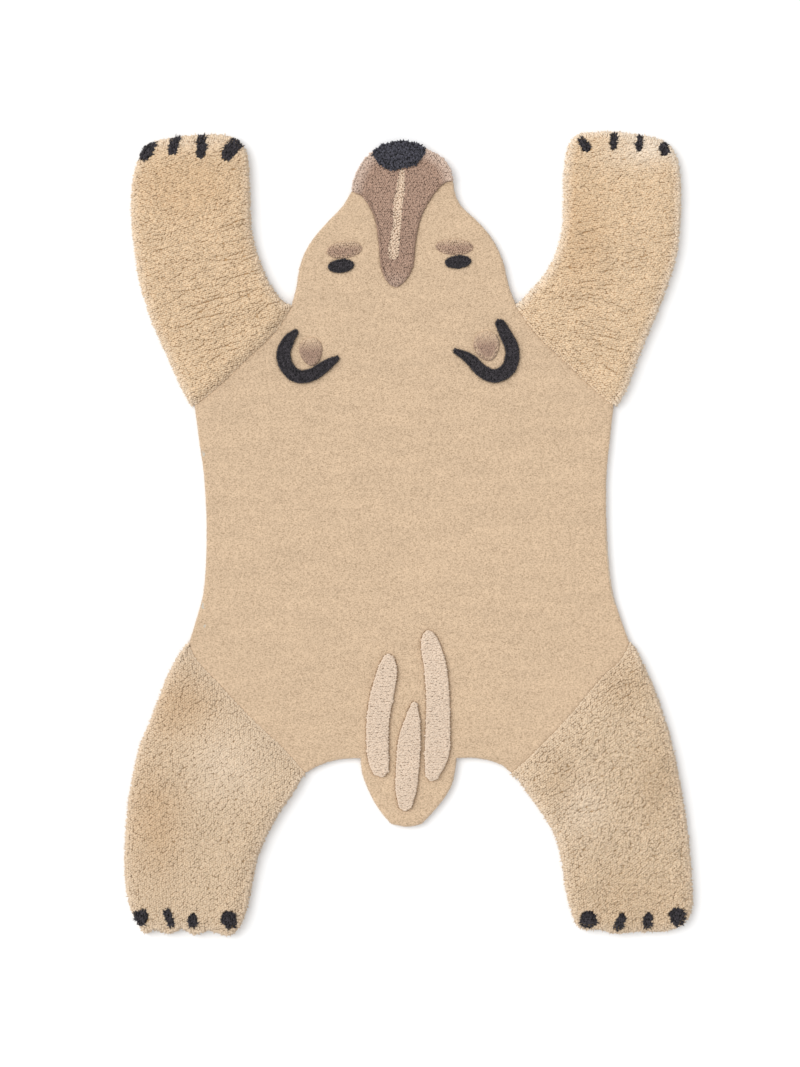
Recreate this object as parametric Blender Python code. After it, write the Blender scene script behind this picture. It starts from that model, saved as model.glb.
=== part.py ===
"""Bear-shaped rug for a child's room, tufted in wool and lying flat.

One cloth carries the whole animal: a stiff backing with short cut pile over face, body and
tail. Long shag covers the four legs, and the muzzle, nose, blaze, brows, eyes, ears, claws
and three strokes over the tail are pile areas of their own, set into the cloth.

The tables are in millimetres and the objects in metres. +Y points to the nose, +X to the
right as seen from above, and the floor is at Z = 0.
"""

import math
from collections import namedtuple

import bmesh
import bpy
from mathutils import Matrix, Vector, noise
from mathutils.geometry import delaunay_2d_cdt, intersect_point_line

MM = 0.001

# Heights above the floor.
BACKING_TOP = 3.0
SHORT_PILE_FOOT = 1.5
SHORT_PILE_TOP = 12.0
POCKET_FLOOR = 3.6
SHAG_TOP = 24.0
SHAG_RIM_TOP = 15.0
CLAW_FOOT = 11.0
ABOVE_ALL = 60.0

# Distances in plan.
CLEARANCE = 0.35
BACKING_INSET = 6.0
EDGE_STEP = 16.0
RIM_STEP = 15.0
MOTIF_STEP = 8.0
LOCK_REACH = 6.0
LOCK_LIFT = (3.5, 8.0)
LOCK_FREE_END = 1.5
SHAG_ROLL = 20.0
LUMP_PITCH = 17.0
LUMP_SIZE = 42.0
LUMP_HEIGHT = 2.4
LUMP_UNEVENNESS = 0.9
TUFT_SIZE = 7.0
LOCK_SIZE = 5.0
EDGE_ROLL = 2.0
ROUND_END = 0.3
CLAW_PROUD = 2.0
CLAW_SIDES = 10
OVAL_SIDES = 18
SAME_POINT = 0.5
SHARPEST_MITRE = 0.6

# Layers of the noise field, so that lumps, tufts and locks vary on their own.
LUMP_LAYER, TUFT_LAYER, LOCK_LAYER = 0, 90, 40
SHARP_ANGLE = math.radians(50)

# The outline at one height of the page: x of its left and its right edge.
Section = namedtuple("Section", "y left right")
MUZZLE_RIM = (
    Section(614, -95, 77),
    Section(632, -88, 73),
    Section(650, -77, 62),
    Section(664, -62, 40),
    Section(674, -40, 14),
)
MUZZLE_TOP = (-12, 678)
MUZZLE_FOOT = (
    Section(586, -78, 40),
    Section(568, -66, 29),
    Section(544, -56, 19),
    Section(504, -50, 11),
    Section(466, -47, 7),
    Section(442, -38, -5),
)
MUZZLE_TIP = (-23, 429)
MUZZLE_RIGHT_CORNER = ((52, 601), (66, 612))
CHEEKS = (
    Section(596, -98, 79),
    Section(570, -113, 90),
    Section(546, -136, 116),
    Section(518, -161, 141),
    Section(490, -179, 157),
    Section(461, -189, 167),
    Section(429, -194, 174),
    Section(396, -203, 187),
)
SHOULDERS = (
    Section(396, -203, 187),
    Section(351, -232, 219),
    Section(305, -280, 266),
    Section(272, -314, 301),
    Section(244, -345, 331),
    Section(224, -371, 356),
)
FLANKS = (
    Section(224, -371, 356),
    Section(162, -363, 349),
    Section(95, -354, 343),
    Section(0, -350, 344),
    Section(-90, -354, 352),
    Section(-135, -364, 364),
    Section(-191, -381, 384),
)
HIPS = (
    Section(-191, -381, 384),
    Section(-219, -368, 369),
    Section(-250, -339, 335),
    Section(-318, -275, 278),
    Section(-375, -215, 223),
    Section(-415, -180, 180),
)
TAIL = (
    Section(-389, -83, 83),
    Section(-415, -80, 80),
    Section(-440, -71, 73),
    Section(-465, -59, 57),
    Section(-486, -45, 39),
    Section(-503, -30, 23),
)
TAIL_TIP = (-7, -508)

# The arch between hind leg and tail: y at a distance from the middle, left and right.
Arch = namedtuple("Arch", "reach left right")
CROTCH = (
    Arch(180, -415, -415),
    Arch(163, -405, -401),
    Arch(142, -396, -393),
    Arch(112, -390, -388),
    Arch(83, -389, -389),
)

# One leg: its outer and inner edge, and its paw's tip from the outer edge to the inner one.
LegSection = namedtuple("LegSection", "y outer inner")
Leg = namedtuple("Leg", "name side seam sections tip")
FORELEG_LEFT = (
    LegSection(223, -379, None),
    LegSection(259, -398, None),
    LegSection(315, -423, None),
    LegSection(369, -447, None),
    LegSection(409, -460, -222),
    LegSection(447, -470, -246),
    LegSection(488, -476, -262),
    LegSection(530, -481, -272),
    LegSection(579, -482, -274),
    LegSection(622, -479, -276),
    LegSection(655, -468, -278),
)
FORELEG_RIGHT = (
    LegSection(223, 365, None),
    LegSection(256, 382, None),
    LegSection(310, 402, None),
    LegSection(367, 426, None),
    LegSection(418, 446, 206),
    LegSection(452, 458, 236),
    LegSection(490, 468, 256),
    LegSection(530, 472, 266),
    LegSection(579, 474, 268),
    LegSection(622, 473, 268),
    LegSection(655, 466, 272),
)
HINDLEG_LEFT = (
    LegSection(-192, -388, None),
    LegSection(-225, -409, None),
    LegSection(-272, -430, None),
    LegSection(-327, -451, None),
    LegSection(-379, -471, None),
    LegSection(-448, -485, -198),
    LegSection(-489, -490, -226),
    LegSection(-532, -493, -249),
    LegSection(-573, -494, -264),
    LegSection(-619, -491, -272),
    LegSection(-660, -480, -282),
)
HINDLEG_RIGHT = (
    LegSection(-192, 392, None),
    LegSection(-226, 409, None),
    LegSection(-272, 429, None),
    LegSection(-327, 448, None),
    LegSection(-379, 462, None),
    LegSection(-450, 476, 206),
    LegSection(-488, 482, 232),
    LegSection(-525, 487, 254),
    LegSection(-570, 491, 265),
    LegSection(-615, 494, 271),
    LegSection(-653, 493, 281),
)
FORE_TIP_LEFT = ((-456, 676), (-425, 686), (-378, 693), (-330, 695), (-306, 690), (-289, 679))
FORE_TIP_RIGHT = ((451, 679), (434, 688), (388, 696), (344, 700), (292, 695), (279, 681))
# Four toes, with a shallow valley between each two.
HIND_TIP_LEFT = (
    (-457, -698),
    (-442, -687),
    (-415, -697),
    (-394, -686),
    (-370, -698),
    (-346, -689),
    (-314, -700),
    (-295, -686),
)
HIND_TIP_RIGHT = (
    (482, -674),
    (462, -687),
    (430, -692),
    (400, -691),
    (357, -695),
    (334, -688),
    (304, -689),
    (290, -680),
)
LEGS = (
    Leg("foreleg_left", "left", SHOULDERS, FORELEG_LEFT, FORE_TIP_LEFT),
    Leg("foreleg_right", "right", SHOULDERS, FORELEG_RIGHT, FORE_TIP_RIGHT),
    Leg("hindleg_left", "left", HIPS, HINDLEG_LEFT, HIND_TIP_LEFT),
    Leg("hindleg_right", "right", HIPS, HINDLEG_RIGHT, HIND_TIP_RIGHT),
)

NOSE = (
    (-63, 659),
    (-48, 673),
    (-12, 681),
    (24, 673),
    (28, 660),
    (12, 640),
    (-8, 636),
    (-29, 631),
    (-50, 641),
)
NOSE_TOP = 19.0
MUZZLE_HEIGHT = 15.5

# A drawn stroke of pile: its middle line and its width there, from end to end.
Station = namedtuple("Station", "x y width")
Stroke = namedtuple("Stroke", "name top finish stations")
BLAZE = Stroke(
    "blaze",
    15.0,
    "blaze_wool",
    (
        Station(-11, 630, 7),
        Station(-13, 605, 13),
        Station(-18, 570, 15),
        Station(-20, 535, 13),
        Station(-25, 503, 17),
        Station(-26, 480, 15),
    ),
)
STROKES = (
    Stroke(
        "ear_left",
        17.0,
        "dark_wool",
        (
            Station(-194, 352, 7),
            Station(-208, 336, 18),
            Station(-217, 312, 22),
            Station(-210, 288, 22),
            Station(-191, 273, 21),
            Station(-166, 277, 20),
            Station(-142, 293, 17),
            Station(-122, 306, 6),
        ),
    ),
    Stroke(
        "ear_right",
        17.0,
        "dark_wool",
        (
            Station(157, 368, 14),
            Station(168, 347, 19),
            Station(180, 319, 22),
            Station(174, 288, 23),
            Station(151, 274, 22),
            Station(128, 282, 20),
            Station(106, 304, 17),
            Station(80, 318, 6),
        ),
    ),
    Stroke(
        "tail_stroke_1",
        18.0,
        "pale_wool",
        (
            Station(-35, -213, 15),
            Station(-36, -234, 31),
            Station(-45, -276, 38),
            Station(-52, -315, 37),
            Station(-54, -355, 36),
            Station(-52, -390, 34),
            Station(-47, -414, 24),
        ),
    ),
    Stroke(
        "tail_stroke_2",
        18.0,
        "pale_wool",
        (
            Station(10, -294, 8),
            Station(7, -322, 24),
            Station(2, -355, 36),
            Station(-1, -395, 38),
            Station(-4, -440, 35),
            Station(-6, -474, 20),
        ),
    ),
    Stroke(
        "tail_stroke_3",
        18.0,
        "pale_wool",
        (
            Station(34, -172, 16),
            Station(38, -192, 31),
            Station(47, -235, 37),
            Station(51, -285, 38),
            Station(51, -335, 40),
            Station(49, -382, 40),
            Station(40, -422, 20),
        ),
    ),
)

# A round spot of pile. A tapered one is broad at its top and narrow at its foot.
Spot = namedtuple("Spot", "name x y width length tilt taper top finish")
SPOTS = (
    Spot("brow_left", -111, 493, 58, 26, 8, 0.0, 14.5, "taupe_wool"),
    Spot("brow_right", 80, 498, 62, 25, -2, 0.0, 14.5, "taupe_wool"),
    Spot("eye_left", -117, 465, 44, 22, 6, 0.0, 15.5, "dark_wool"),
    Spot("eye_right", 86, 472, 44, 21, 5, 0.0, 15.5, "dark_wool"),
    Spot("inner_ear_left", -169, 316, 35, 45, 6, 0.25, 15.0, "taupe_wool"),
    Spot("inner_ear_right", 136, 326, 40, 48, 10, 0.2, 15.0, "taupe_wool"),
)

Claw = namedtuple("Claw", "leg x y width length tilt taper")
CLAWS = (
    Claw("foreleg_left", -453, 662, 18, 28, -26, 0.0),
    Claw("foreleg_left", -406, 671, 13, 28, -11, 0.0),
    Claw("foreleg_left", -358, 670, 14, 32, 0, 0.0),
    Claw("foreleg_left", -308, 664, 23, 30, -33, 0.0),
    Claw("foreleg_right", 306, 671, 16, 25, 33, 0.0),
    Claw("foreleg_right", 355, 676, 13, 25, 0, 0.0),
    Claw("foreleg_right", 400, 673, 11, 25, -5, 0.0),
    Claw("foreleg_right", 443, 665, 16, 22, -8, 0.0),
    Claw("hindleg_left", -462, -665, 22, 26, 0, 0.3),
    Claw("hindleg_left", -415, -665, 12, 28, 20, 0.0),
    Claw("hindleg_left", -373, -668, 17, 24, 0, 0.0),
    Claw("hindleg_left", -311, -666, 27, 28, 0, 0.1),
    Claw("hindleg_right", 312, -664, 27, 26, 0, 0.0),
    Claw("hindleg_right", 367, -668, 14, 26, -28, 0.0),
    Claw("hindleg_right", 415, -666, 16, 26, 0, 0.0),
    Claw("hindleg_right", 464, -660, 26, 28, 0, 0.1),
)

Finish = namedtuple("Finish", "colour roughness")
FINISHES = {
    "body_wool": Finish((0.69, 0.51, 0.34), 0.95),
    "shag_wool": Finish((0.65, 0.47, 0.31), 0.97),
    "taupe_wool": Finish((0.39, 0.26, 0.19), 0.95),
    "nose_wool": Finish((0.054, 0.053, 0.065), 0.95),
    "dark_wool": Finish((0.045, 0.040, 0.042), 0.95),
    "pale_wool": Finish((0.715, 0.575, 0.44), 0.95),
    "blaze_wool": Finish((0.69, 0.53, 0.40), 0.95),
}


def clear_scene():
    for old in list(bpy.data.objects):
        bpy.data.objects.remove(old, do_unlink=True)


def material(name):
    """The pile's finish: matt wool in one colour."""
    found = bpy.data.materials.get(name)
    if found:
        return found
    made = bpy.data.materials.new(name)
    made.use_nodes = True
    shader = made.node_tree.nodes["Principled BSDF"]
    shader.inputs["Base Color"].default_value = (*FINISHES[name].colour, 1.0)
    shader.inputs["Roughness"].default_value = FINISHES[name].roughness
    shader.inputs["Metallic"].default_value = 0.0
    return made


def spline(points, step):
    """Points about step apart on the smooth curve through the given ones, both ends kept."""
    knots = [Vector(point) for point in points]
    knots = [2 * knots[0] - knots[1], *knots, 2 * knots[-1] - knots[-2]]
    curve = []
    for before, start, end, after in zip(knots, knots[1:], knots[2:], knots[3:]):
        pieces = max(1, round((end - start).length / step))
        for index in range(pieces):
            t = index / pieces
            curve.append(
                0.5 * (2 * start + (end - before) * t)
                + 0.5 * (2 * before - 5 * start + 4 * end - after) * t**2
                + 0.5 * (3 * start - before - 3 * end + after) * t**3
            )
    curve.append(knots[-2])
    return curve


def edge(rows, side, step):
    """One side of a table of sections, as a smooth edge from its first row to its last."""
    return spline([(getattr(row, side), row.y) for row in rows], step)


def chain(*edges):
    """A closed loop out of edges that follow each other, each shared end taken once."""
    loop = []
    for points in edges:
        for point in points:
            if not loop or (point - loop[-1]).length > SAME_POINT:
                loop.append(point)
    if (loop[0] - loop[-1]).length < SAME_POINT:
        loop.pop()
    return counterclockwise(loop)


def counterclockwise(loop):
    area = sum(a.cross(b) for a, b in zip(loop, loop[1:] + loop[:1]))
    return loop if area > 0 else loop[::-1]


def outward(loop, index):
    """The direction that leads out of a counterclockwise loop at one of its points."""
    before = (loop[index] - loop[index - 1]).normalized()
    after = (loop[(index + 1) % len(loop)] - loop[index]).normalized()
    along = (before + after).normalized()
    reach = 1.0 / max(SHARPEST_MITRE, abs(along.dot(after)))
    return Vector((along.y, -along.x)) * reach


def grown(loop, distance):
    """The loop moved outwards by a distance, or inwards by a negative one."""
    return [point + outward(loop, index) * distance for index, point in enumerate(loop)]


def arch_points(side):
    """The arch from the hip's inner end to the tail's root, on one side."""
    sign = -1 if side == "left" else 1
    return spline([(sign * row.reach, getattr(row, side)) for row in CROTCH], EDGE_STEP)


def muzzle_rim():
    """The head's top edge, from the right cheek over the top to the left cheek."""
    right = [(row.right, row.y) for row in MUZZLE_RIM]
    left = [(row.left, row.y) for row in reversed(MUZZLE_RIM)]
    return spline([*right, MUZZLE_TOP, *left, (CHEEKS[0].left, CHEEKS[0].y)], EDGE_STEP)


def muzzle_foot():
    """The line between muzzle and face, from the left cheek round to the right one."""
    left = [(row.left, row.y) for row in MUZZLE_FOOT]
    right = [(row.right, row.y) for row in reversed(MUZZLE_FOOT)]
    start = CHEEKS[0].left, CHEEKS[0].y
    end = MUZZLE_RIM[0].right, MUZZLE_RIM[0].y
    return spline([start, *left, MUZZLE_TIP, *right, *MUZZLE_RIGHT_CORNER, end], EDGE_STEP / 2)


def cheek_right():
    """The face's right edge, from the muzzle down to the armpit."""
    rows = [(row.right, row.y) for row in (MUZZLE_RIM[0], *CHEEKS)]
    return spline(rows, EDGE_STEP)


def tail_points():
    """The tail's rim from its left root round its tip to its right root."""
    left = [(row.left, row.y) for row in TAIL]
    right = [(row.right, row.y) for row in reversed(TAIL)]
    return spline([*left, TAIL_TIP, *right], EDGE_STEP)


def leg_rim(leg, step):
    """A leg's free edge, from its seam's outer end round the paw to its inner end."""
    seam_end = leg.seam[0] if leg.seam is SHOULDERS else leg.seam[-1]
    outer = [(row.outer, row.y) for row in leg.sections]
    inner = [(row.inner, row.y) for row in reversed(leg.sections) if row.inner is not None]
    start = getattr(seam_end, leg.side), seam_end.y
    return spline([*outer, *leg.tip, *inner, start], step)


def seam_points(leg):
    """The seam between leg and body, from its inner end to its outer one."""
    rows = leg.seam if leg.seam is SHOULDERS else leg.seam[::-1]
    return edge(rows, leg.side, EDGE_STEP)


def short_pile_outline():
    """The edge of the short pile: face, body and tail, without muzzle and legs."""
    left = [edge(rows, "left", EDGE_STEP) for rows in (CHEEKS, SHOULDERS, FLANKS, HIPS)]
    right = [edge(rows, "right", EDGE_STEP)[::-1] for rows in (HIPS, FLANKS, SHOULDERS)]
    hind = arch_points("left"), tail_points(), arch_points("right")[::-1]
    return chain(*left, *hind, *right, cheek_right()[::-1], muzzle_foot()[::-1])


def whole_outline():
    """The rug's whole edge, round head, legs and tail."""
    fore_left, fore_right, hind_left, hind_right = (leg_rim(leg, EDGE_STEP) for leg in LEGS)
    return chain(
        edge(CHEEKS, "left", EDGE_STEP),
        fore_left[::-1],
        edge(FLANKS, "left", EDGE_STEP),
        hind_left,
        arch_points("left"),
        tail_points(),
        arch_points("right")[::-1],
        hind_right[::-1],
        edge(FLANKS, "right", EDGE_STEP)[::-1],
        fore_right,
        cheek_right()[::-1],
        muzzle_rim(),
    )


def stroke_outline(stroke):
    """A stroke's edge: its middle line widened to both sides, with rounded ends."""
    middle = spline(stroke.stations, MOTIF_STEP)
    sides = [], []
    for index, station in enumerate(middle):
        ahead = middle[min(index + 1, len(middle) - 1)].xy
        behind = middle[max(index - 1, 0)].xy
        along = (ahead - behind).normalized()
        across = Vector((along.y, -along.x)) * station.z / 2
        sides[0].append(station.xy + across)
        sides[1].append(station.xy - across)
    ends = [
        end.xy + (end.xy - beside.xy).normalized() * end.z * ROUND_END
        for end, beside in ((middle[0], middle[1]), (middle[-1], middle[-2]))
    ]
    return counterclockwise([ends[0], *sides[0], ends[1], *reversed(sides[1])])


def oval_outline(width, length, tilt, taper, sides, centre):
    turn = Matrix.Rotation(math.radians(tilt), 2)
    loop = []
    for index in range(sides):
        angle = 2 * math.pi * index / sides
        half = width / 2 * (1 + taper * math.sin(angle))
        place = Vector((half * math.cos(angle), length / 2 * math.sin(angle)))
        loop.append(turn @ place + Vector(centre))
    return counterclockwise(loop)


def slab(loop, foot, top, roll=0.0):
    """A closed slab over a loop. Its top edge rolls over by roll."""
    mesh = bmesh.new()
    floor = mesh.faces.new([mesh.verts.new((point.x, point.y, foot)) for point in loop])
    raised = bmesh.ops.extrude_face_region(mesh, geom=[floor])["geom"]
    cap = next(item for item in raised if isinstance(item, bmesh.types.BMFace))
    bmesh.ops.translate(mesh, verts=cap.verts, vec=(0, 0, top - roll - foot))
    if roll:
        bmesh.ops.inset_region(mesh, faces=[cap], thickness=roll, use_even_offset=True)
        bmesh.ops.translate(mesh, verts=cap.verts, vec=(0, 0, roll))
    bmesh.ops.recalc_face_normals(mesh, faces=mesh.faces)
    return mesh


def finished(name, mesh, finish, root):
    """The mesh as a named object in metres, shaded smooth but for its sharp edges."""
    bmesh.ops.scale(mesh, verts=mesh.verts, vec=(MM, MM, MM))
    data = bpy.data.meshes.new(name)
    mesh.to_mesh(data)
    mesh.free()
    data.shade_smooth()
    data.set_sharp_from_angle(angle=SHARP_ANGLE)
    data.materials.append(material(finish))
    piece = bpy.data.objects.new(name, data)
    bpy.context.scene.collection.objects.link(piece)
    piece.parent = root
    return piece


def helper(name, meshes, root):
    """Several closed meshes as one hidden object that a Boolean reads."""
    joined = bmesh.new()
    for mesh in meshes:
        data = bpy.data.meshes.new(name)
        mesh.to_mesh(data)
        mesh.free()
        joined.from_mesh(data)
        bpy.data.meshes.remove(data)
    piece = finished(name, joined, "body_wool", root)
    piece.hide_render = True
    piece.display_type = "WIRE"
    return piece


def boolean(piece, operation, other):
    modifier = piece.modifiers.new(operation.title(), "BOOLEAN")
    modifier.operation = operation
    modifier.solver = "EXACT"
    modifier.object = other


def pocket(loop, floor):
    """The cutter for a pile area that is set into another: its outline with clearance."""
    return slab(grown(loop, CLEARANCE), floor, ABOVE_ALL)


def motif_outlines():
    """Each pile area that is set into the short pile, with its top and its finish."""
    found = {}
    for stroke in STROKES:
        found[stroke.name] = stroke_outline(stroke), stroke.top, stroke.finish
    for spot in SPOTS:
        loop = oval_outline(
            spot.width, spot.length, spot.tilt, spot.taper, OVAL_SIDES, (spot.x, spot.y)
        )
        found[spot.name] = loop, spot.top, spot.finish
    return found


def build_ground(motifs, root):
    """The cloth: backing under the whole rug, and short pile with a pocket for each motif."""
    backing = slab(grown(whole_outline(), -BACKING_INSET), 0.0, BACKING_TOP)
    ground = finished("ground", backing, "body_wool", root)
    pile = slab(short_pile_outline(), SHORT_PILE_FOOT, SHORT_PILE_TOP, EDGE_ROLL)
    boolean(ground, "UNION", helper("short_pile", [pile], root))
    pockets = [pocket(loop, POCKET_FLOOR) for loop, _, _ in motifs.values()]
    boolean(ground, "DIFFERENCE", helper("motif_pockets", pockets, root))


def build_motifs(motifs, root):
    for name, (loop, top, finish) in motifs.items():
        foot = POCKET_FLOOR + CLEARANCE
        finished(name, slab(loop, foot, top, EDGE_ROLL), finish, root)


def build_muzzle(root):
    """Muzzle with a notch for the nose and a slot for the blaze, and those two."""
    foot = BACKING_TOP + CLEARANCE
    loop = grown(chain(muzzle_rim(), muzzle_foot()), -CLEARANCE)
    muzzle = finished(
        "muzzle", slab(loop, foot, MUZZLE_HEIGHT, EDGE_ROLL), "taupe_wool", root
    )
    nose = counterclockwise(spline([*NOSE, NOSE[0]], MOTIF_STEP)[:-1])
    blaze = stroke_outline(BLAZE)
    below = -CLEARANCE
    boolean(muzzle, "DIFFERENCE", helper("nose_notch", [pocket(nose, below)], root))
    boolean(muzzle, "DIFFERENCE", helper("blaze_slot", [pocket(blaze, below)], root))
    finished("nose", slab(nose, foot, NOSE_TOP, 2 * EDGE_ROLL), "nose_wool", root)
    finished("blaze", slab(blaze, foot, BLAZE.top, EDGE_ROLL), BLAZE.finish, root)


def shag_height(point, rim):
    """The shag's top over a point: rolled down at the rim and lumpy all over."""
    inland = min(distance_to(point, a, b) for a, b in zip(rim, rim[1:]))
    share = min(1.0, inland / SHAG_ROLL)
    swell = math.sin(share * math.pi / 2)
    lump = chance_at(point, LUMP_LAYER, LUMP_SIZE) * LUMP_HEIGHT
    tuft = chance_at(point, TUFT_LAYER, TUFT_SIZE) * LUMP_UNEVENNESS
    return SHAG_RIM_TOP + (SHAG_TOP - SHAG_RIM_TOP) * swell + (lump + tuft) * share


def chance_at(point, layer, size):
    """A smooth, repeatable value from -1 to 1 that changes over about the given size."""
    return noise.noise(Vector((point.x, point.y, layer)) / size)


def distance_to(point, start, end):
    nearest, share = intersect_point_line(point, start, end)
    if share < 0:
        nearest = start
    elif share > 1:
        nearest = end
    return (point - Vector(nearest[:2])).length


def inside(point, loop):
    """True where a ray from the point crosses the loop an odd number of times."""
    crossings = 0
    for a, b in zip(loop, loop[1:] + loop[:1]):
        if (a.y > point.y) != (b.y > point.y):
            at = a.x + (point.y - a.y) / (b.y - a.y) * (b.x - a.x)
            crossings += point.x < at
    return crossings % 2 == 1


def lump_grid(loop):
    """Staggered points inside a loop, clear of its edge."""
    low_x, high_x = min(p.x for p in loop), max(p.x for p in loop)
    low_y, high_y = min(p.y for p in loop), max(p.y for p in loop)
    row_pitch = LUMP_PITCH * math.sqrt(3) / 2
    edges = list(zip(loop, loop[1:] + loop[:1]))
    points = []
    for row in range(int((high_y - low_y) / row_pitch) + 1):
        for column in range(int((high_x - low_x) / LUMP_PITCH) + 2):
            stagger = 0.5 * (row % 2)
            point = Vector((low_x + (column - stagger) * LUMP_PITCH, low_y + row * row_pitch))
            if inside(point, loop):
                if min(distance_to(point, a, b) for a, b in edges) > LUMP_PITCH / 2:
                    points.append(point)
    return points


def build_leg(leg, claws, root):
    """A lumpy slab of shag with a lock hanging from each stretch of its free rim."""
    rim = leg_rim(leg, RIM_STEP)
    seam = seam_points(leg)
    loop = chain(rim, seam)
    seam_keys = {key_of(point) for point in seam}
    on_seam = [key_of(point) in seam_keys for point in loop]
    base = [
        point - outward(loop, index) * (CLEARANCE if on_seam[index] else LOCK_REACH)
        for index, point in enumerate(loop)
    ]
    count = len(base)
    inner = lump_grid(base)
    flat, _, triangles, _, _, _ = delaunay_2d_cdt(
        base + inner, [], [list(range(count))], 1, 1e-4
    )
    mesh = bmesh.new()
    top = [mesh.verts.new((p.x, p.y, shag_height(p, rim))) for p in flat]
    for corners in triangles:
        mesh.faces.new([top[corner] for corner in corners])
    foot = BACKING_TOP + CLEARANCE
    low = [mesh.verts.new((p.x, p.y, foot)) for p in base]
    mesh.faces.new(low[::-1])
    for index in range(count):
        following = (index + 1) % count
        wall = low[index], low[following], top[following], top[index]
        if on_seam[index] or on_seam[following]:
            mesh.faces.new(wall)
        else:
            add_lock(mesh, wall, (loop[index] + loop[following]) / 2, base, index)
    bmesh.ops.recalc_face_normals(mesh, faces=mesh.faces)
    panel = finished(leg.name, mesh, "shag_wool", root)
    loops = [claw_outline(claw) for claw in claws]
    cutters = [pocket(outline, CLAW_FOOT - CLEARANCE) for outline in loops]
    boolean(panel, "DIFFERENCE", helper(leg.name + "_claw_pockets", cutters, root))
    for number, outline in enumerate(loops, 1):
        build_claw(f"claw_{leg.name}_{number}", outline, rim, root)


def key_of(point):
    return round(point.x, 2), round(point.y, 2)


def add_lock(mesh, wall, rim_point, base, index):
    """A four-sided lock whose tip hangs down over the cut edge."""
    chance = chance_at(rim_point, LOCK_LAYER, LOCK_SIZE)
    reach = LOCK_FREE_END * chance
    out = outward(base, index)
    drop = LOCK_LIFT[0] + (LOCK_LIFT[1] - LOCK_LIFT[0]) * (0.5 + 0.5 * chance)
    tip = mesh.verts.new((rim_point.x + out.x * reach, rim_point.y + out.y * reach, drop))
    for corner, after in zip(wall, wall[1:] + wall[:1]):
        mesh.faces.new((corner, after, tip))


def claw_outline(claw):
    centre = claw.x, claw.y
    return oval_outline(claw.width, claw.length, claw.tilt, claw.taper, CLAW_SIDES, centre)


def build_claw(name, outline, rim, root):
    """A dark tuft that follows the shag's top and stands a little proud of it."""
    mesh = slab(outline, CLAW_FOOT, ABOVE_ALL, EDGE_ROLL)
    for vertex in mesh.verts:
        if vertex.co.z > CLAW_FOOT:
            drop = vertex.co.z - ABOVE_ALL
            height = shag_height(vertex.co.xy, rim)
            vertex.co.z = height + CLAW_PROUD + drop
    finished(name, mesh, "dark_wool", root)


def main():
    clear_scene()
    root = bpy.data.objects.new("rug", None)
    bpy.context.scene.collection.objects.link(root)
    motifs = motif_outlines()
    build_ground(motifs, root)
    build_muzzle(root)
    build_motifs(motifs, root)
    for leg in LEGS:
        build_leg(leg, [claw for claw in CLAWS if claw.leg == leg.name], root)


main()
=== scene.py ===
"""Dresses the bear-shaped rug: cut wool tufts on every pile area, and a plain pale studio.

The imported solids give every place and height. Each pile area is a low core in the shape of
its solid, and its cut tufts stand on that core up to the solid's top. Sizes are in metres.
"""

from __future__ import annotations

import logging
import math
from collections.abc import Iterable
from dataclasses import dataclass, field, replace
from enum import Enum

import bmesh
import bpy
import numpy as np
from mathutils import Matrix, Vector, kdtree, noise
from mathutils.bvhtree import BVHTree
from mathutils.geometry import delaunay_2d_cdt


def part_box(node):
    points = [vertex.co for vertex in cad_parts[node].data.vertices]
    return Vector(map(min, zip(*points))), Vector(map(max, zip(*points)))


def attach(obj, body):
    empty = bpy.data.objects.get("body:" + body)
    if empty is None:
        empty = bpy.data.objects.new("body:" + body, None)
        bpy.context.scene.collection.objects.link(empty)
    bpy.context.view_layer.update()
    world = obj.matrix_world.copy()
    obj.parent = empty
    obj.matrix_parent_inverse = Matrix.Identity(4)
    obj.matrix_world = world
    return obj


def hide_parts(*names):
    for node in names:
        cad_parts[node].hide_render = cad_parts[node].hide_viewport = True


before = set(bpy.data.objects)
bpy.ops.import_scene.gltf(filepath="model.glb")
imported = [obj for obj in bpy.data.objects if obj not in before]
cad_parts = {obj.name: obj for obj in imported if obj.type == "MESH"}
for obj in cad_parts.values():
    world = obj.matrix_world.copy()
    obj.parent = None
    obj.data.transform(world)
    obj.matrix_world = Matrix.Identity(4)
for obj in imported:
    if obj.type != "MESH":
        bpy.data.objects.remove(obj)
logging.basicConfig(level=logging.INFO, format="%(message)s")
LOG = logging.getLogger("bear_rug")

MM = 0.001
SKY = Vector((0.0, 0.0, 1.0))
EAST = Vector((1.0, 0.0, 0.0))


# ---------------------------------------------------------------------------------------
# Shader maths
# ---------------------------------------------------------------------------------------


class Signal:
    """A shader socket that takes part in Python sums by adding Math nodes."""

    def __init__(self, graph: Graph, socket: bpy.types.NodeSocket) -> None:
        """Notes an output socket and the graph that its node stands in."""
        self.graph = graph
        self.socket = socket

    def _sum(self, operation: str, first: object, second: object) -> Signal:
        """The value of a Math node."""
        return self.graph.node("ShaderNodeMath", {"operation": operation}, {0: first, 1: second})

    def __add__(self, other: object) -> Signal:
        """The sum."""
        return self._sum("ADD", self, other)

    def __sub__(self, other: object) -> Signal:
        """The difference."""
        return self._sum("SUBTRACT", self, other)

    def __rsub__(self, other: object) -> Signal:
        """The difference, the other way round."""
        return self._sum("SUBTRACT", other, self)

    def __mul__(self, other: object) -> Signal:
        """The product."""
        return self._sum("MULTIPLY", self, other)

    __radd__ = __add__
    __rmul__ = __mul__


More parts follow.
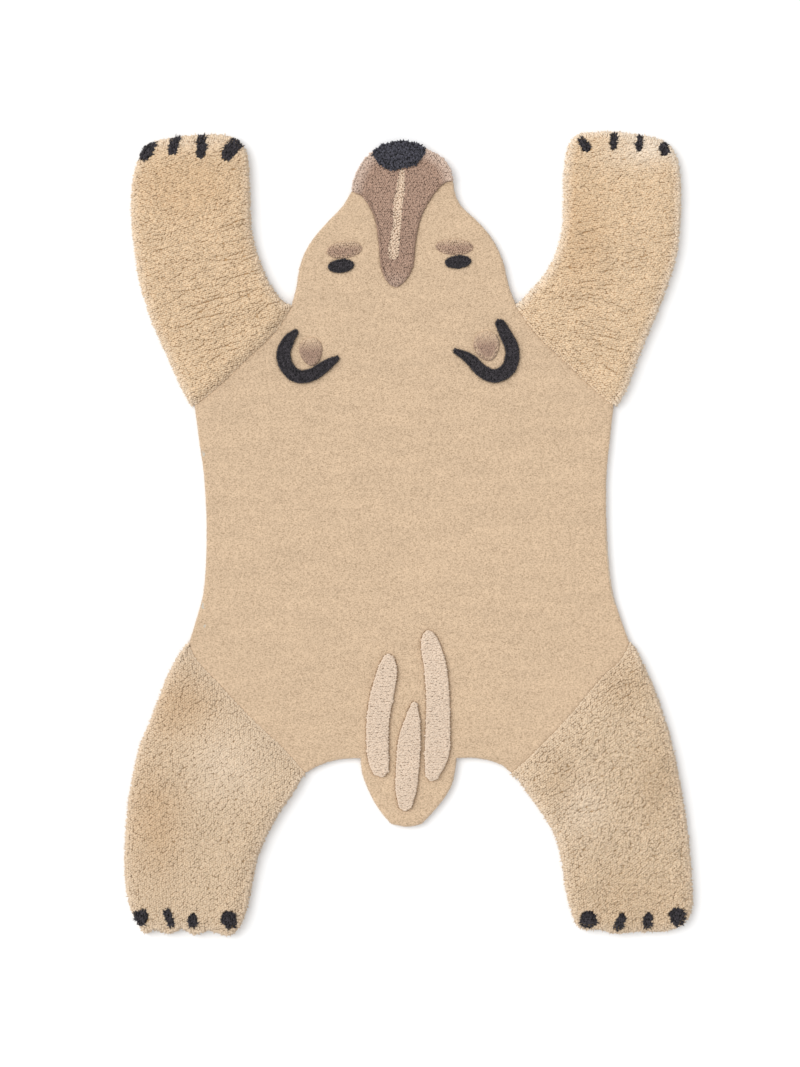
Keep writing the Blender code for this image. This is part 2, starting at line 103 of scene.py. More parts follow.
class Graph:
    """One material's nodes, and a short way to add to them."""

    def __init__(self, name: str) -> None:
        """Starts a material that has no nodes.

        Args:
            name: Its name.
        """
        self.material = bpy.data.materials.new(name)
        self.material.use_nodes = True
        self.tree = self.material.node_tree
        self.tree.nodes.clear()

    def node(
        self,
        kind: str,
        settings: dict[str, object] | None = None,
        inputs: dict[str | int, object] | None = None,
        output: str | int = 0,
    ) -> Signal:
        """Adds one node of any kind.

        Args:
            kind: The node's type.
            settings: Its own settings, which are set before its sockets.
            inputs: Values or signals by socket name or number.
            output: The output that is wanted, by name or number.

        Returns:
            The output as a signal.
        """
        made = self.tree.nodes.new(kind)
        for name, value in (settings or {}).items():
            setattr(made, name, value)
        for name, value in (inputs or {}).items():
            if isinstance(value, Signal):
                self.tree.links.new(value.socket, made.inputs[name])
            else:
                made.inputs[name].default_value = value
        return Signal(self, made.outputs[output] if made.outputs else None)

    def mix(self, share: object, first: object, second: object) -> Signal:
        """Two colours blended, with that share of the second."""
        settings = {"data_type": "RGBA", "blend_type": "MIX"}
        return self.node("ShaderNodeMix", settings, {0: share, 6: first, 7: second}, 2)

    def scaled(self, colour: object, share: object) -> Signal:
        """A colour made lighter or darker."""
        settings = {"operation": "SCALE"}
        return self.node("ShaderNodeVectorMath", settings, {0: colour, "Scale": share})

    def tinted(self, colour: object, other: object) -> Signal:
        """One colour seen through another."""
        return self.node("ShaderNodeVectorMath", {"operation": "MULTIPLY"}, {0: colour, 1: other})

    def attribute(self, name: str) -> Signal:
        """A value that the mesh holds point by point."""
        return self.node("ShaderNodeAttribute", {"attribute_name": name}, output="Fac")

    def place(self, stretch: float = 1.0, turn: float = 0.0) -> Signal:
        """The point on the piece, in a pattern that is turned about Z and stretched.

        Args:
            stretch: How much longer than wide the pattern is.
            turn: The direction in which it is longer, in degrees from +X.

        Returns:
            The point as a vector.
        """
        point = self.node("ShaderNodeTexCoord", output="Object")
        turned = (0.0, 0.0, math.radians(turn))
        sockets = {"Vector": point, "Rotation": turned, "Scale": (stretch, 1.0, 1.0)}
        return self.node("ShaderNodeMapping", {"vector_type": "TEXTURE"}, sockets)

    def grain(self, place: Signal, size: float, detail: float = 2.0) -> Signal:
        """Cloudy noise about 0.5, with clouds of a given size."""
        sockets = {"Vector": place, "Scale": 1.0 / size, "Detail": detail}
        return self.node("ShaderNodeTexNoise", {}, sockets)

    def bump(self, height: Signal, distance: float) -> Signal:
        """The normal of a fine relief that is as deep as the distance."""
        return self.node("ShaderNodeBump", {}, {"Height": height, "Distance": distance}, "Normal")

    def finish(self, sockets: dict[str, object]) -> bpy.types.Material:
        """Closes the graph with a shader.

        Args:
            sockets: The shader's values or signals by socket.

        Returns:
            The material.
        """
        shader = self.node("ShaderNodeBsdfPrincipled", {}, sockets)
        self.node("ShaderNodeOutputMaterial", {}, {"Surface": shader})
        return self.material


# ---------------------------------------------------------------------------------------
# Finishes
# ---------------------------------------------------------------------------------------

Colour = tuple[float, float, float]
WHITE = (1.0, 1.0, 1.0)


def opaque(colour: Colour) -> tuple[float, float, float, float]:
    """A colour with full cover."""
    return (*colour, 1.0)


@dataclass(frozen=True)
class Wool:
    """Matt wool yarn of one dye lot, seen end on.

    Attributes:
        name: The finish's name.
        tip: The colour of the cut ends.
        root: The painted shade deep in the pile, between the tufts: the colour that the core and
            the lowest points of a tuft get.
        edging: The paler colour where the pile curls down at the rug's rim or a paw, a painted
            highlight of the light caught there; at a brow or ear it is the colour that its edge and
            top fade into.
        dye: The share of each colour that is left where the wool took up more dye.
        spread: How much lighter or darker one tuft is than the next.
        patch: How much lighter or darker whole patches of the pile are.
        patch_size: The size of such a patch.
        speck: How much lighter or darker the fibres' ends are than each other.
        speck_shade: How far a dark speck also shifts the colour into the root's painted shade.
        grain: How far apart the fibres on a surface stand.
        relief: The height of that grain.
        roughness: The finish's roughness.
        sheen: The soft light that fibres catch at a low angle.
        gloss: The specular level.
        streak: The direction in which fibres and patches run, in degrees.
        combed: How much longer than wide the fibres' grain is in that direction.
        band: How much longer than wide a patch is.
    """

    name: str
    tip: Colour
    root: Colour
    edging: Colour
    dye: Colour = (0.90, 0.84, 0.78)
    spread: float = 0.10
    patch: float = 0.08
    patch_size: float = 0.06
    speck: float = 0.10
    speck_shade: float = 6.0
    grain: float = 0.0016
    relief: float = 0.0005
    roughness: float = 0.95
    sheen: float = 0.15
    gloss: float = 0.15
    streak: float = 0.0
    combed: float = 1.0
    band: float = 2.2

    def material(self) -> bpy.types.Material:
        """Builds the finish.

        Returns:
            Its material.
        """
        graph = Graph(self.name)
        combed = graph.place(self.combed, self.streak)
        banded = graph.place(self.band, self.streak)
        patches = graph.grain(banded, self.patch_size, 3.0) - 0.5
        specks = graph.grain(combed, self.grain, 1.0) - 0.5
        fibres = graph.grain(combed, self.grain)
        # Painted shade: the lower a point on a tuft, and the darker its speck, the more of the root
        # colour it gets.
        seen = graph.attribute("height") + specks * (self.speck_shade * self.speck)
        colour = graph.mix(seen, opaque(self.root), opaque(self.tip))
        # The rim share blends in the worn colour: a painted highlight at the rug's rim, a plain
        # fade into the body colour at a brow or ear.
        colour = graph.mix(graph.attribute("rim"), colour, opaque(self.edging))
        stain = graph.mix(graph.attribute("stain"), opaque(WHITE), opaque(self.dye))
        light = 1.0 + (graph.attribute("tint") - 0.5) * self.spread
        light = light + patches * (2.0 * self.patch) + specks * (2.0 * self.speck)
        return graph.finish(
            {
                "Base Color": graph.scaled(graph.tinted(colour, stain), light),
                "Roughness": self.roughness,
                "Sheen Weight": self.sheen,
                "Sheen Roughness": 0.5,
                "Specular IOR Level": self.gloss,
                "Normal": graph.bump(fibres, self.relief),
            }
        )


@dataclass(frozen=True)
class BackingCloth:
    """The woven cotton that is glued under the tufts.

    Attributes:
        name: The finish's name.
        thread: The colour of its thread.
        pitch: The distance from thread to thread.
        relief: How far a thread stands out.
        cloud: The size of its lighter and darker patches.
    """

    name: str = "backing_cloth"
    thread: Colour = (0.60, 0.54, 0.45)
    pitch: float = 0.0032
    relief: float = 0.0006
    cloud: float = 0.05

    def material(self) -> bpy.types.Material:
        """Builds the finish.

        Returns:
            Its material.
        """
        graph = Graph(self.name)
        waves = []
        for axis in ("X", "Y"):
            settings = {"wave_type": "BANDS", "bands_direction": axis}
            sockets = {"Vector": graph.place(), "Scale": 0.31 / self.pitch, "Distortion": 0.6}
            waves.append(graph.node("ShaderNodeTexWave", settings, sockets))
        weave = waves[0] * waves[1]
        clouds = graph.grain(graph.place(), self.cloud) - 0.5
        return graph.finish(
            {
                "Base Color": graph.scaled(self.thread, 0.82 + weave * 0.25 + clouds * 0.15),
                "Roughness": 0.92,
                "Specular IOR Level": 0.15,
                "Normal": graph.bump(weave, self.relief),
            }
        )


BODY_WOOL = Wool(
    "body_wool", (0.592, 0.437, 0.295), (0.38, 0.25, 0.145), (0.66, 0.52, 0.385),
    spread=0.03, patch=0.11, patch_size=0.02, band=3.5, speck=0.40, relief=0.0012, combed=1.5,
)
FORELEG_WOOL = Wool(
    "foreleg_wool", (0.748, 0.588, 0.412), (0.50, 0.315, 0.155), (0.76, 0.62, 0.47),
    dye=(0.92, 0.87, 0.81), spread=0.18, patch=0.05, patch_size=0.05, speck=0.15,
    grain=0.0015, relief=0.0011, combed=2.4,
)
HINDLEG_WOOL = replace(
    FORELEG_WOOL, name="hindleg_wool", tip=(0.695, 0.552, 0.400), root=(0.43, 0.285, 0.155),
    edging=(0.71, 0.57, 0.425), speck=0.24, relief=0.0013, combed=1.8,
)
TAUPE_WOOL = Wool(
    "taupe_wool", (0.415, 0.277, 0.207), (0.29, 0.187, 0.135), (0.66, 0.52, 0.43),
    spread=0.22, speck=0.12,
)
BROW_WOOL = replace(
    TAUPE_WOOL, name="brow_wool", tip=(0.41, 0.275, 0.202), root=(0.35, 0.235, 0.168),
    edging=(0.585, 0.432, 0.298), spread=0.10, speck=0.08,
)
EAR_WOOL = replace(
    BROW_WOOL, name="inner_ear_wool", tip=(0.36, 0.24, 0.178), root=(0.32, 0.213, 0.154),
)
NOSE_WOOL = Wool(
    "nose_wool", (0.062, 0.061, 0.077), (0.020, 0.019, 0.025), (0.09, 0.09, 0.11),
    spread=0.9, speck=0.35,
)
DARK_WOOL = Wool(
    "dark_wool", (0.042, 0.037, 0.042), (0.018, 0.015, 0.018), (0.06, 0.05, 0.06),
    spread=0.9, speck=0.3,
)
PALE_WOOL = Wool(
    "pale_wool", (0.69, 0.555, 0.435), (0.56, 0.425, 0.315), (0.70, 0.56, 0.44),
    spread=0.06, grain=0.0022, combed=2.0,
)
BLAZE_WOOL = Wool(
    "blaze_wool", (0.74, 0.58, 0.44), (0.66, 0.50, 0.37), (0.70, 0.54, 0.41), spread=0.14,
)


class Slot(Enum):
    """The record's finishes, each with the wool that its pieces are made of."""

    BODY = ("body_pile", BODY_WOOL)
    SHAG = ("shag_pile", FORELEG_WOOL)
    TAUPE = ("taupe_pile", TAUPE_WOOL)
    NOSE = ("nose_pile", NOSE_WOOL)
    DARK = ("dark_pile", DARK_WOOL)
    PALE = ("pale_pile", PALE_WOOL)
    BLAZE = ("blaze_pile", BLAZE_WOOL)

    @property
    def record_name(self) -> str:
        """The slot's name in the record."""
        return self.value[0]

    @property
    def wool(self) -> Wool:
        """The wool of a piece that doesn't name its own."""
        return self.value[1]


# ---------------------------------------------------------------------------------------
# Places and directions
# ---------------------------------------------------------------------------------------


def flat(point: Vector) -> Vector:
    """The same place at height zero."""
    return Vector((point.x, point.y, 0.0))


def level(angle: float) -> Vector:
    """The level direction at an angle in degrees from +X."""
    return Vector((math.cos(math.radians(angle)), math.sin(math.radians(angle)), 0.0))


def beside(way: Vector) -> Vector:
    """The level direction to the left of another."""
    return Vector((-way.y, way.x, 0.0))


def clamp(value: float) -> float:
    """The value, held between 0 and 1."""
    return max(0.0, min(1.0, value))


def hit_from_above(tree: BVHTree, x: float, y: float) -> tuple[float, Vector] | None:
    """The height and normal of the highest surface over a place, or None."""
    place, normal, _, _ = tree.ray_cast(Vector((x, y, 1.0)), -SKY)
    return None if place is None else (place.z, normal)


def plan_tree(points: Iterable[Vector]) -> kdtree.KDTree:
    """Makes the tree that finds the nearest of some points in plan.

    Args:
        points: The points.

    Returns:
        The tree, which holds them at height zero in the order given.
    """
    places = list(points)
    tree = kdtree.KDTree(len(places))
    for index, place in enumerate(places):
        tree.insert(flat(place), index)
    tree.balance()
    return tree


@dataclass(frozen=True)
class Wave:
    """A smooth field of values over the rug, which may be longer one way than across.

    Attributes:
        layer: Which of many such fields it is.
        length: The size of a wave along the field's direction.
        height: The highest value. The lowest is as far below zero.
        width: The size of a wave across that direction, or 0 for the same size.
    """

    layer: float
    length: float
    height: float = 1.0
    width: float = 0.0

    def at(self, point: Vector, way: Vector = EAST) -> float:
        """Finds the value at a place.

        Args:
            point: The place.
            way: The level direction along which the field runs.

        Returns:
            The value.
        """
        along = point.dot(way) / self.length
        across = way.cross(point).z / (self.width or self.length)
        return self.height * noise.noise(Vector((along, across, self.layer)))


def boundary_loops(
    mesh: bmesh.types.BMesh, faces: set[bmesh.types.BMFace]
) -> list[list[bmesh.types.BMVert]]:
    """The closed loops of edges around a set of faces.

    Args:
        mesh: The mesh that holds them.
        faces: The faces.

    Returns:
        Each loop as its vertices in order.
    """
    links: dict[bmesh.types.BMVert, list[bmesh.types.BMVert]] = {}
    for edge in mesh.edges:
        if sum(face in faces for face in edge.link_faces) == 1:
            first, second = edge.verts
            links.setdefault(first, []).append(second)
            links.setdefault(second, []).append(first)
    loops = []
    seen: set[bmesh.types.BMVert] = set()
    for start in links:
        if start in seen:
            continue
        loop = []
        onward = [start]
        while onward:
            loop.append(onward[0])
            seen.add(onward[0])
            onward = [vertex for vertex in links[onward[0]] if vertex not in seen]
        loops.append(loop)
    return loops


def counterclockwise(loop: Iterable[bmesh.types.BMVert]) -> list[Vector]:
    """Copies a loop's points.

    Args:
        loop: Its vertices in order.

    Returns:
        The points, in the order that runs counterclockwise as seen from above.
    """
    points = [vertex.co.copy() for vertex in loop]
    area = sum(a.x * b.y - b.x * a.y for a, b in zip(points, points[1:] + points[:1]))
    return points if area > 0 else points[::-1]


def walk(loop: list[Vector], pitch: float) -> list[tuple[Vector, Vector]]:
    """Points at an even pitch along a closed loop.

    Args:
        loop: The loop's points, counterclockwise.
        pitch: The distance from point to point.

    Returns:
        Each point with the level direction that leads outwards there.
    """
    following = loop[1:] + loop[:1]
    around = zip(loop[-1:] + loop, following)
    out = [-beside(after - before).normalized() for before, after in around]
    found = []
    spare = 0.0
    for index, (start, end) in enumerate(zip(loop, following)):
        length = (end - start).length
        while spare < length:
            share = spare / length
            way = out[index].lerp(out[(index + 1) % len(loop)], share).normalized()
            found.append((start + (end - start) * share, way))
            spare += pitch
        spare -= length
    return found


class Solid:
    """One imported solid, read for its heights and for its edge in plan."""

    def __init__(self, node: str) -> None:
        """Reads a solid.

        Args:
            node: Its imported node.
        """
        self.mesh = bmesh.new()
        self.mesh.from_mesh(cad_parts[node].data)
        bmesh.ops.remove_doubles(self.mesh, verts=self.mesh.verts, dist=0.01 * MM)
        self.mesh.normal_update()
        self.tree = BVHTree.FromBMesh(self.mesh)
        self.low, self.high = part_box(node)

    def top(self, x: float, y: float) -> tuple[float, Vector] | None:
        """The height and normal of its highest point over a place, or None."""
        return hit_from_above(self.tree, x, y)

    def lowered(self, depth: float) -> bmesh.types.BMesh:
        """Copies the solid with its top lowered.

        Args:
            depth: How far it is lowered, where it is thick enough.

        Returns:
            The copy.
        """
        mesh = self.mesh.copy()
        for vertex in mesh.verts:
            if vertex.co.z > self.low.z + 1 * MM:
                vertex.co.z = max(self.low.z + 0.6 * MM, vertex.co.z - depth)
        return mesh

    def foot(self) -> list[Vector]:
        """Reads the edge of its underside.

        Returns:
            The edge's points, counterclockwise.
        """
        faces = [face for face in self.mesh.faces if face.normal.z < -0.99]
        lowest = min(face.calc_center_median().z for face in faces)
        under = {face for face in faces if face.calc_center_median().z < lowest + 0.4 * MM}
        return counterclockwise(max(boundary_loops(self.mesh, under), key=len))


GROUND = Solid("ground")
RIM_GAP = 3 * MM


def at_rim(point: Vector, height: float) -> bool:
    """True where the short pile's solid stands off an edge, which is then the rug's own rim."""
    return GROUND.tree.find_nearest(point + SKY * height)[3] > RIM_GAP


# ---------------------------------------------------------------------------------------
# Tufts
# ---------------------------------------------------------------------------------------


@dataclass(frozen=True)
class TuftShape:
    """The body of one cut tuft, one unit long and about one unit in radius.

    Attributes:
        sides: How many sides it has.
        rings: The height and the radius of each ring, from the root up.
    """

    sides: int
    rings: tuple[tuple[float, float], ...]

    def arrays(self) -> tuple[np.ndarray, np.ndarray]:
        """Builds the tuft once.

        Returns:
            Its points and its triangles.
        """
        mesh = bmesh.new()
        bmesh.ops.create_circle(mesh, cap_ends=True, segments=self.sides, radius=self.rings[0][1])
        cap = mesh.faces[:][0]
        for (low, narrow), (high, wide) in zip(self.rings, self.rings[1:]):
            raised = bmesh.ops.extrude_face_region(mesh, geom=[cap])["geom"]
            cap = next(item for item in raised if isinstance(item, bmesh.types.BMFace))
            share = wide / narrow
            bmesh.ops.scale(mesh, verts=cap.verts, vec=(share, share, 1.0))
            bmesh.ops.translate(mesh, verts=cap.verts, vec=(0.0, 0.0, high - low))
        crown = bmesh.ops.poke(mesh, faces=[cap])["verts"]
        bmesh.ops.translate(mesh, verts=crown, vec=(0.0, 0.0, 1.0 - self.rings[-1][0]))
        bmesh.ops.recalc_face_normals(mesh, faces=mesh.faces)
        bmesh.ops.triangulate(mesh, faces=mesh.faces)
        mesh.verts.index_update()
        points = np.array([vertex.co[:] for vertex in mesh.verts])
        corners = np.array([[vertex.index for vertex in face.verts] for face in mesh.faces])
        mesh.free()
        return points, corners


SHAG_TUFT = TuftShape(6, ((0.0, 0.9), (0.58, 1.0)))
ROUND_TUFT = TuftShape(5, ((0.0, 0.9), (0.76, 1.0)))
SMALL_TUFT = TuftShape(4, ((0.0, 0.8), (0.72, 1.0)))
LOCK = TuftShape(5, ((0.0, 0.8), (0.5, 1.0), (0.85, 0.62)))
LOOSE_END = TuftShape(4, ((0.0, 1.0), (0.6, 0.8)))


@dataclass
class Tufts:
    """Many tufts of one shape, joined into one mesh.

    A tuft stands from the middle of its root, its foot, to the middle of its cut end, its tip.
    Its shades run from 0 to 1: its tint says how light it is, its rim how much of the worn colour
    it takes, which at the rug's rim is a painted highlight, and its stain how much darker dye it
    took up.

    Attributes:
        shape: The shape of each tuft.
        seed: The start of the random numbers for turns and squashes.
        wild: How far each corner of a tuft strays, as a share of its radius.
        crown: How much further than that the middle of its cut end strays.
        squash: The least and the most that a round tuft is longer than wide.
        rows: Each tuft's foot, tip, long direction, radius, stretch and three shades.
    """

    shape: TuftShape
    seed: int
    wild: float = 0.14
    crown: float = 1.6
    squash: tuple[float, float] = (0.88, 1.14)
    rows: list[tuple[float, ...]] = field(default_factory=list)

    def add(
        self,
        foot: Vector,
        tip: Vector,
        radius: float,
        tint: float,
        rim: float = 0.0,
        stain: float = 0.0,
        lie: Vector | None = None,
        stretch: float = 1.0,
    ) -> None:
        """Notes one tuft. It is longest along its lie, or along any way where that is None."""
        self.rows.append((*foot, *tip, *(lie or Vector()), radius, stretch, tint, rim, stain))

    def arrays(self) -> tuple[np.ndarray, np.ndarray, dict[str, np.ndarray]]:
        """Places every tuft.

        Returns:
            The points, the triangles, and the values of each point by name.
        """
        shape, corners = self.shape.arrays()
        table = np.array(self.rows)
        count, size = len(table), len(shape)
        random = np.random.default_rng(self.seed)
        foot, lie = table[:, 0:3], table[:, 6:9]
        radius, stretch, tint, rim, stain = table[:, 9:].T
        axis = table[:, 3:6] - foot
        length = np.linalg.norm(axis, axis=1, keepdims=True)
        axis = axis / length
        angle = random.uniform(0, math.pi, (count, 1))
        free = np.concatenate([np.cos(angle), np.sin(angle), np.full_like(angle, 0.37)], axis=1)
        lie = np.where(np.linalg.norm(lie, axis=1, keepdims=True) < 0.5, free, lie)
        side = lie - axis * np.sum(lie * axis, axis=1, keepdims=True)
        side /= np.linalg.norm(side, axis=1, keepdims=True)
        squash = random.uniform(*self.squash, count) * stretch
        spin = random.uniform(0, 2 * math.pi, (count, 1))
        swell = random.uniform(1.0 - self.wild, 1.0 + self.wild, (count, size))
        x = (shape[None, :, 0] * np.cos(spin) - shape[None, :, 1] * np.sin(spin)) * swell
        y = (shape[None, :, 0] * np.sin(spin) + shape[None, :, 1] * np.cos(spin)) * swell
        crown = shape[None, :, 2] > 0.99
        x += crown * random.normal(0.0, self.crown * self.wild, (count, 1))
        y += crown * random.normal(0.0, self.crown * self.wild, (count, 1))
        rise = shape[None, :, 2] * (1.0 + random.uniform(-0.5, 0.5, (count, size)) * self.wild)
        points = (
            foot[:, None, :]
            + x[:, :, None] * (side * (radius * squash)[:, None])[:, None, :]
            + y[:, :, None] * (np.cross(axis, side) * (radius / squash)[:, None])[:, None, :]
            + rise[:, :, None] * (axis * length)[:, None, :]
        )
        faces = corners[None, :, :] + (np.arange(count) * size)[:, None, None]
        shades = {"tint": tint, "rim": rim, "stain": stain}
        values = {name: np.repeat(each, size) for name, each in shades.items()}
        values["height"] = np.tile(shape[:, 2], count)
        return points.reshape(-1, 3), faces.reshape(-1, 3), values


@dataclass(frozen=True)
class Lattice:
    """Places in staggered rows, each a little out of line.

    Attributes:
        pitch: The distance from place to place.
        turn: The rows' direction, in degrees from +X.
        jitter: How far out of line a place may be, as a share of the pitch.
        squeeze: The distance between rows as a share of an even triangle's height.
    """

    pitch: float
    turn: float
    jitter: float
    squeeze: float = 1.0

    def places(self, low: Vector, high: Vector, random: np.random.Generator) -> np.ndarray:
        """Fills a box in plan.

        Args:
            low: The box's lowest corner.
            high: The box's highest corner.
            random: Where the jitter comes from.

        Returns:
            One row of x and y for each place.
        """
        low, high = np.array(low.xy), np.array(high.xy)
        reach = math.hypot(*(high - low)) / 2
        row_pitch = self.pitch * math.sqrt(3) / 2 * self.squeeze
        rows = int(reach / row_pitch) + 1
        columns = int(reach / self.pitch) + 1
        row, column = np.meshgrid(np.arange(-rows, rows + 1), np.arange(-columns, columns + 1))
        x = (column + 0.5 * (row % 2)) * self.pitch
        places = np.stack([x.ravel(), (row * row_pitch).ravel()], axis=1)
        places += random.uniform(-self.jitter, self.jitter, places.shape) * self.pitch
        along = level(self.turn)
        places = places @ np.array([[along.x, along.y], [-along.y, along.x]]) + (low + high) / 2
        inside = (places > low - self.pitch) & (places < high + self.pitch)
        return places[inside.all(axis=1)]


# ---------------------------------------------------------------------------------------
# Pieces
# ---------------------------------------------------------------------------------------

# A core's height of 0 paints it in the root colour, the painted shade between the tufts, unless its
# piece lifts it.
CORE_VALUES = {"height": 0.0, "tint": 0.5, "rim": 0.0, "stain": 0.0}


def place_in_scene(name: str, data: bpy.types.ID) -> bpy.types.Object:
    """Puts an object into the scene.

    Args:
        name: Its name.
        data: What it shows.

    Returns:
        The object.
    """
    made = bpy.data.objects.new(name, data)
    bpy.context.scene.collection.objects.link(made)
    return made


def dressed(
    name: str,
    node: str,
    slot: Slot,
    core: bmesh.types.BMesh,
    tufts: Iterable[Tufts],
    core_values: dict[str, np.ndarray] | None = None,
    wool: Wool | None = None,
) -> bpy.types.Object:
    """Joins a core with its tufts and puts the piece in its node's place.

    Args:
        name: The piece's name.
        node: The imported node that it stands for.
        slot: The finish.
        core: The low solid that the tufts stand on. It is freed.
        tufts: The tufts, in one group for each shape.
        core_values: Those of the core's shades that aren't plain, point by point.
        wool: The piece's own wool, or None for the slot's.

    Returns:
        The piece.
    """
    plain = {key: np.full(len(core.verts), value) for key, value in CORE_VALUES.items()}
    shades = {key: [each] for key, each in (plain | (core_values or {})).items()}
    for group in tufts:
        if not group.rows:
            continue
        points, faces, found = group.arrays()
        loose = bpy.data.meshes.new("tufts")
        loose.from_pydata(points.tolist(), [], faces.tolist())
        core.from_mesh(loose)
        bpy.data.meshes.remove(loose)
        for key, parts in shades.items():
            parts.append(found[key])
    data = bpy.data.meshes.new(name)
    core.to_mesh(data)
    core.free()
    for key, parts in shades.items():
        layer = data.attributes.new(key, "FLOAT", "POINT")
        layer.data.foreach_set("value", np.concatenate(parts).astype(np.float32))
    data.shade_smooth()
    wool = wool or slot.wool
    data.materials.append(bpy.data.materials.get(wool.name) or wool.material())
    piece = place_in_scene(name, data)
    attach(piece, "root")
    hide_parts(node)
    data.calc_loop_triangles()
    LOG.info("%s: %d triangles", name, len(data.loop_triangles))
    return piece


@dataclass(frozen=True)
class RimRow:
    """One row of tufts that point out of the rug's rim.

    Attributes:
        height: How high above the floor they are rooted.
        rise: How much higher than that their tips lie.
        reach: How far their tips stand out.
    """

    height: float
    rise: float
    reach: float


@dataclass(frozen=True)
class Field:
    """A loose field round a place on the rug, in metres.

    Attributes:
        middle: The field's middle.
        reach: How far it spreads along its own direction and across it.
        angle: Its direction, in degrees from +X.
    """

    middle: tuple[float, float]
    reach: tuple[float, float]
    angle: float = 0.0

    def share(self, point: Vector) -> float:
        """Finds how much a place belongs to the field.

        Args:
            point: The place.

        Returns:
            The share, from 0 to 1.
        """
        off = flat(point) - Vector((*self.middle, 0.0))
        x = off.dot(level(self.angle)) / self.reach[0]
        y = off.cross(level(self.angle)).z / self.reach[1]
        return math.exp(-(x * x + y * y))

    def place(self, random: np.random.Generator) -> Vector:
        """Draws any place in the field.

        Args:
            random: Where it comes from.

        Returns:
            The place, at height zero.
        """
        along = level(self.angle)
        first, second = random.normal(0.0, 0.6, 2)
        here = Vector((*self.middle, 0.0))
        return here + along * (first * self.reach[0]) + beside(along) * (second * self.reach[1])


@dataclass(frozen=True)
class Parting:
    """Creases where long pile has parted, all running roughly one way.

    Attributes:
        field: Where they lie and how they run.
        count: How many there are.
        longest: The length of the longest.
        fan: How much their directions differ, in degrees.
    """

    field: Field
    count: int
    longest: float
    fan: float = 9.0


@dataclass(frozen=True)
class Nap:
    """The way in which one leg's long shag lies.

    Attributes:
        lie: The direction in which its tufts are longest, in degrees from +X.
        wool: The dye lot that it is tufted in.
        swell: How soon the pile rises to its full height behind the seam.
        pitch: The distance from tuft to tuft along the nap.
        stretch: How much longer than round a tuft is.
        ridge: How high the ridges between streaks of the pile are.
        dropped: The share of tufts that lie deeper than the rest.
        seam_highlight: How much paler the pile is painted right at the seam, a painted highlight on
            its rolled edge, from 0 to 1.
        dyed: How much dye the whole leg took up, from 0 to 1.
        partings: Where the pile has parted.
        darker: Where it took up more dye.
        paler: Where it is bleached.
    """

    lie: float
    wool: Wool
    swell: float
    pitch: float
    stretch: float
    ridge: float
    dropped: float
    seam_highlight: float
    dyed: float
    partings: tuple[Parting, ...]
    darker: tuple[Field, ...]
    paler: tuple[Field, ...]


class Creases:
    """The creases of one leg, as points along wavy lines.

    Attributes:
        STEP: The distance from point to point.
        REACH: How far from a crease it still moves tufts.
        SWAY: How a crease's direction wavers, in degrees.
    """

    STEP = 1.5 * MM
    REACH = 3.4 * MM
    SWAY = Wave(31.0, 0.011, 26.0)

    def __init__(self, partings: Iterable[Parting], seed: int) -> None:
        """Draws every crease.

        Args:
            partings: The partings that they belong to.
            seed: The start of their random numbers.
        """
        random = np.random.default_rng(seed)
        self.points: list[Vector] = []
        self.ways: list[Vector] = []
        self.depths: list[float] = []
        for parting in partings:
            for _ in range(parting.count):
                self._draw(parting, random)
        self.tree = plan_tree(self.points)

    def _draw(self, parting: Parting, random: np.random.Generator) -> None:
        """Draws one crease.

        Args:
            parting: The parting that it belongs to.
            random: Where its place, length and depth come from.
        """
        here = parting.field.place(random)
        heading = parting.field.angle + random.normal(0.0, parting.fan)
        length = parting.longest * random.uniform(0.2, 1.0) ** 1.5
        steps = max(4, int(length / self.STEP))
        strength = random.uniform(0.45, 1.0)
        for step in range(steps):
            way = level(heading + self.SWAY.at(here))
            here = here + way * self.STEP
            self.points.append(here)
            self.ways.append(way)
            self.depths.append(strength * math.sin(math.pi * (step + 0.6) / steps) ** 0.5)

    def parted(self, point: Vector) -> tuple[Vector, float]:
        """How a crease moves one tuft.

        Args:
            point: Where the tuft stands, at height zero.

        Returns:
            The unit way in which it is pushed, and how much from 0 to 1.
        """
        place, index, away = self.tree.find(point)
        if away > self.REACH:
            return Vector(), 0.0
        way = self.ways[index]
        off = point - place
        off -= way * off.dot(way)
        if off.length < 1e-5:
            off = beside(way)
        share = self.depths[index] * math.exp(-((away / (0.62 * self.REACH)) ** 2))
        return off.normalized(), share


